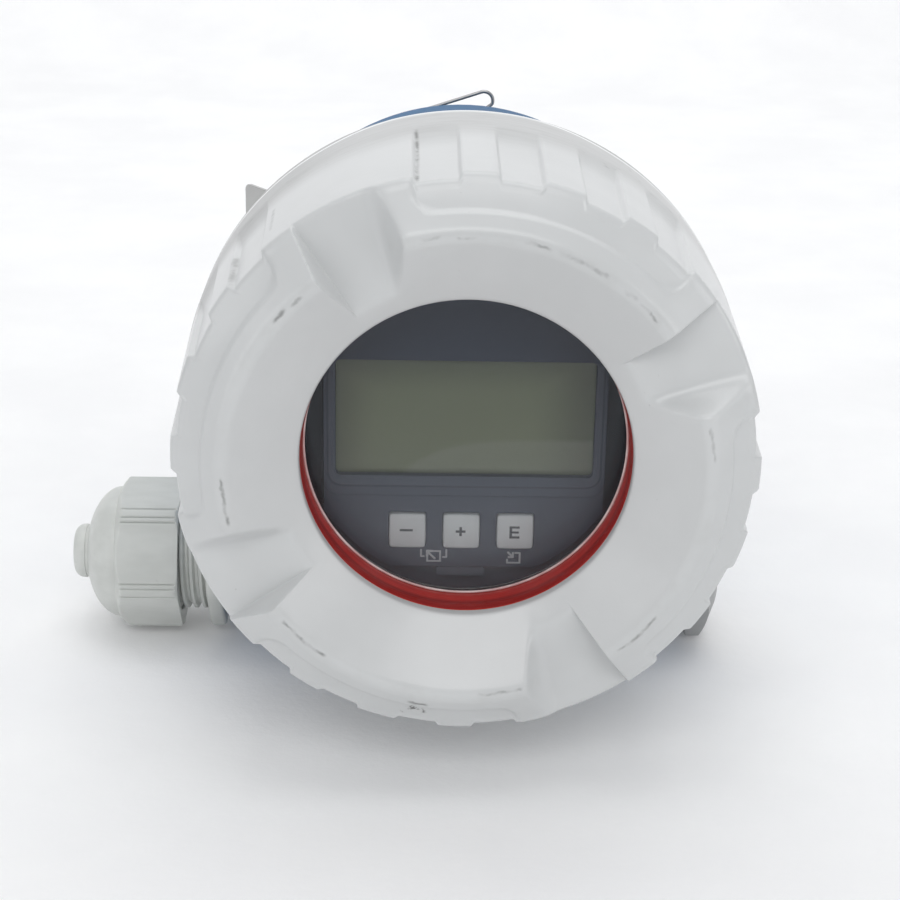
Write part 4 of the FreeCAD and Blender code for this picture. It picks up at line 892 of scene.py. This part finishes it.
def gland_body():
    """Gland body: entry shank, hexagon collar, then a screw thread up to its rim and a bored inside."""
    turn = ring_turns(180)[:, None]
    shank = np.array([[-14.0, 0.55]])
    collar = np.array([[0.6, 0.6, 0.9, 1.3, 3.3, 3.7, 4.0, 4.0]])
    ease = np.array([[1.6, 0.6, 0.15, 0.0, 0.0, 0.15, 0.6, 1.6]])
    hexagon = smaller(hexagon_radius(turn, 29.0, GLAND_TURN, 16.3) - ease, 16.2 - ease + 0.0 * turn, 0.2)
    thread = np.linspace(4.05, 16.9, 150)[None]
    screw = screw_radius(turn, thread, root=11.15, crest=12.35, pitch=2.0)
    screw = screw - 0.8 * smoothstep(thread, 16.1, 16.9)
    inside = rounded([(11.2, 17.0, 0), (9.7, 17.0, 0.2), (9.7, 9.0, 0), (7.0, 9.0, 0), (7.0, -14.0, 0)])
    grid = outlines(len(turn), (9.9, shank), (hexagon, collar), (screw, thread), inside)
    return surface("gland_thread_body", lathe(grid, turn[:, 0], GLAND, OUT_LEFT), True)


def gland_plug():
    """Blanking plug with a rounded end and a shallow ring groove."""
    outline = rounded([(0.0, 10.5, 0), (PLUG, 10.5, 0), (PLUG, 30.9, 0.1), (5.72, 31.05, 0.06), (5.72, 31.2, 0.06),
                       (PLUG, 31.35, 0.1), (PLUG, PLUG_TIP, 2.0), (0.0, PLUG_TIP, 0)], 0.15)
    return surface("gland_blank", lathe(outline, ring_turns(96), GLAND, OUT_LEFT), False)


def process_connection():
    """Collar, hexagon and threaded stud: an outline carried round the main axis, whose radius is cut by the hexagon
    and waved by the screw thread; a small port runs in from the tip."""
    corners = 30.0 + 60.0 * np.arange(6)[:, None] + np.array([[-1.2, -0.6, 0.0, 0.6, 1.2]])
    turn = np.radians(np.unique(np.concatenate([np.arange(0.0, 360.0, 2.0), corners.ravel()])))[:, None]
    collar = rounded([(0.0, -24.0, 0), (21.0, -24.0, 1.0), (21.0, -19.0, 1.0), (17.0, -19.0, 0)])
    hex_height = np.array([[-19.0, -18.8, -18.2, -17.4, -5.0, -4.2, -3.4, -3.0]])
    chamfer = 20.7 - np.array([[2.4, 1.5, 0.7, 0.0, 0.0, 0.7, 1.5, 2.4]])
    hexagon = smaller(hexagon_radius(turn, 36.0, 0.0, 20.6) + 0.0 * hex_height, chamfer + 0.0 * turn, 0.2)
    seal = rounded([(13.5, -3.0, 0), (13.5, 0.0, 0.4), (9.3, 0.0, 0.2), (9.3, 1.6, 0)])
    thread = np.linspace(1.7, 19.2, 130)[None]
    screw = screw_radius(turn, thread, root=9.32, crest=10.48, pitch=1.814)
    tip = rounded([(9.2, 19.6, 0), (8.9, 20.0, 0), (3.0, 20.0, 0.3), (3.0, 23.0, 0.5), (1.5, 23.0, 0.3),
                   (1.5, 8.0, 0), (0.0, 8.0, 0)])
    grid = outlines(len(turn), collar, (hexagon, hex_height), seal, (screw, thread), tip)
    return surface("process_stud", lathe(grid, turn[:, 0], ORIGIN, BACK), False)


def merged_copy(node, sharp=32.0):
    """Copy of a solid's own mesh with its doubles merged and its edges smooth up to an angle."""
    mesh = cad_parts[node].data.copy()
    mesh.name = node + "_eased"
    return piece(node + "_eased", mesh, sharp)


def repaint(finish, *nodes):
    """Give solids that stay as they are a finish."""
    for node in nodes:
        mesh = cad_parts[node].data
        mesh.materials.clear()
        mesh.materials.append(finish)


paint = cover_paint("cover_grey_paint", True)
plain_paint = cover_paint("lid_grey_paint", False)
blue = housing_paint()
red = seal_rubber()
stainless = steel("turned_stainless", (0.62, 0.62, 0.61), 0.22, (1.0, 0.05, 1.0))
bright = steel("tag_steel", (0.56, 0.56, 0.55), 0.30, (0.06, 1.0, 1.0))
ring_metal = steel("ring_aluminium", (0.78, 0.78, 0.78), 0.25, (1.0, 0.06, 1.0))
black = rubber()
grey_plastic = gland_finish()
plug_plastic = moulded("plug_polyamide", (0.33, 0.335, 0.335), (0.39, 0.395, 0.395), 0.40, edge=0.5)
wire_steel = steel("wire_steel", (0.42, 0.42, 0.42), 0.3, (1.0, 1.0, 0.2), 0.0)
screw_steel = steel("screw_steel", (0.60, 0.60, 0.59), 0.26, (1.0, 1.0, 0.3))

settle(display_cover(), paint, "cover", "cover_paint", "display_cover")
settle(window_lining(), red, "cover", "seal_red", "window_seal")
settle(glass_bead(), edge_sealant(), "cover", "clear_glass")
for node, body, centre in KEYS:
    settle(key_cap(node, centre), key_finish(node, centre), body, "key_plastic", node)
settle(gland_nut(), grey_plastic, "gland_cap", "gland_plastic", "gland_nut")
settle(gland_body(), grey_plastic, "housing", "gland_plastic", "gland_body")
settle(gland_plug(), grey_plastic, "gland_core", "gland_plastic", "gland_plug")
settle(process_connection(), stainless, "neck", "stainless", "process_connection")

for node, finish, body, slot in (
        ("housing_body", blue, "housing", "housing_paint"),
        ("terminal_cover", plain_paint, "terminal_lid", "cover_paint"),
        ("display_bezel", bezel_finish(), "housing", "module_plastic"),
        ("blind_plug", plug_plastic, "blind", "plug_plastic"),
        ("sensor_neck", stainless, "neck", "stainless"),
        ("tag_plate", bright, "housing", "steel")):
    settle(merged_copy(node), finish, body, slot, node)
settle(merged_copy("tag_wire", 60.0), wire_steel, "housing", "steel", "tag_wire")

repaint(sight_glass(), "window_glass")
repaint(ring_metal, "glass_ring")
repaint(lcd_finish(), "lcd_panel")
repaint(holder_finish(), "display_holder", "display_shell")
repaint(circuit_board(), "display_board")
repaint(black, "cover_o_ring", "terminal_cover_o_ring", "gland_gasket", "gland_insert", "blind_plug_gasket",
        "neck_o_ring", "sensor_seal", "key_mat")
repaint(moulded("potting_resin", (0.030, 0.031, 0.034), (0.042, 0.043, 0.046), 0.3, 1.4, 0.05), "electronics_insert")
repaint(screw_steel, "insert_screws", "terminal_screws", "ground_screw", "ground_clamp", "swivel_set_screw",
        "tag_ferrule")
repaint(stainless, "sensor_cell")
repaint(moulded("vent_plastic", (0.030, 0.030, 0.031), (0.042, 0.042, 0.043), 0.5), "vent_plug")
repaint(moulded("terminal_plastic", (0.24, 0.25, 0.25), (0.30, 0.31, 0.31), 0.45), "terminal_block")


def paper():
    """Matt white paper with a faint unevenness, on a table that is lit a little from below."""
    finish = Finish("white_paper")
    cloud = finish.noise(60.0, 3.0, 0.6)
    fibre = finish.noise(2.5, 3.0, 0.6, offset=4.0)
    shade = finish.mix(cloud.ease(0.3, 0.7), (0.86, 0.86, 0.865), (0.90, 0.90, 0.90))
    return finish.set(shade, 0.9, finish.bump(fibre + cloud * 3.0, 0.12), Emission_Color=(1.0, 1.0, 1.0),
                      Emission_Strength=0.05)


def backdrop():
    """Floor that rises behind in a wide cove: straight, most of a quarter turn, straight, carried sideways."""
    near, far, radius, half_width = -1500.0, 560.0, 300.0, 1700.0
    run = np.linspace(near, far, 24)
    bend = np.radians(np.linspace(0.0, 80.0, 18))
    cove = np.stack([far + radius * np.sin(bend), FLOOR + radius * (1.0 - np.cos(bend))], -1)
    wall = np.linspace(cove[-1], cove[-1] + (160.0, 900.0), 6)[1:]
    line = np.concatenate([np.stack([run, np.full_like(run, FLOOR)], -1), cove, wall])
    across = np.linspace(-half_width, half_width, 30)
    grid = np.stack(np.broadcast_arrays(across[:, None], line[None, :, 0], line[None, :, 1]), -1) * MM
    return surface("paper_backdrop", grid, False, 60.0, False)


sweep = backdrop()
sweep.data.materials.append(paper())


def soft_light(name, where, aim, width, height, power):
    """Rectangular soft light at a place in metres, facing a point."""
    lamp = bpy.data.lights.new(name, "AREA")
    lamp.shape = "RECTANGLE"
    lamp.size = width
    lamp.size_y = height
    lamp.energy = power
    body = bpy.data.objects.new(name, lamp)
    body.location = where
    body.rotation_euler = (Vector(aim) - Vector(where)).to_track_quat("-Z", "Y").to_euler()
    bpy.context.scene.collection.objects.link(body)


# Soft lights: name, place, point that they face, width and height in metres, power
LIGHTS = [("overhead", (0.04, -0.12, 1.0), (0.0, -0.12, 0.0), 0.7, 0.7, 2.5),
          ("front", (-0.05, -1.20, 0.95), (0.0, -0.12, 0.0), 1.1, 0.6, 5.4),
          ("left_side", (-0.80, -0.72, 0.22), (0.0, -0.15, -0.05), 0.5, 0.4, 0.85),
          ("right_side", (0.80, -0.72, 0.22), (0.0, -0.15, -0.05), 0.5, 0.4, 1.05),
          ("far_floor", (0.0, 0.35, 0.9), (0.0, 0.85, 0.0), 1.6, 0.5, 4.2)]
ROOM_TINT = (0.95, 0.97, 1.0, 1.0)
ROOM_LIGHT = 0.45

for light in LIGHTS:
    soft_light(*light)
world = bpy.data.worlds.new("white_room")
world.use_nodes = True
tint, strength = world.node_tree.nodes["Background"].inputs[:2]
tint.default_value = ROOM_TINT
strength.default_value = ROOM_LIGHT
bpy.context.scene.world = world
bpy.context.scene.view_settings.view_transform = "Standard"

# Camera, fitted to the photograph: distance in metres from the shoulder plane's centre, elevation, azimuth and roll,
# focal length on its sensor, picture's width and shift in pixels
DISTANCE = 0.3615
ELEVATION = math.radians(20.88)
AZIMUTH = math.radians(1.45)
ROLL = math.radians(1.27)
FOCAL = 81.28
SENSOR = 36.0
PICTURE = 900.0
SHIFT = (-17.2, 21.4)

level = math.cos(ELEVATION)
ahead = Vector((math.sin(AZIMUTH) * level, math.cos(AZIMUTH) * level, -math.sin(ELEVATION)))
right = Vector((math.cos(AZIMUTH), -math.sin(AZIMUTH), 0.0))
upward = right.cross(ahead)
across = right * math.cos(ROLL) + upward * math.sin(ROLL)
above = upward * math.cos(ROLL) - right * math.sin(ROLL)
lens = bpy.data.cameras.new("camera")
lens.lens = FOCAL
lens.sensor_width = SENSOR
lens.shift_x = SHIFT[0] / PICTURE
lens.shift_y = SHIFT[1] / PICTURE
lens.clip_start = 0.01
camera = bpy.data.objects.new("camera", lens)
camera.matrix_world = Matrix.Translation(Vector((0.0, -PROCESS * MM, 0.0)) - ahead * DISTANCE) @ Matrix(
    (across, above, -ahead)).transposed().to_4x4()
bpy.context.scene.collection.objects.link(camera)
bpy.context.scene.camera = camera
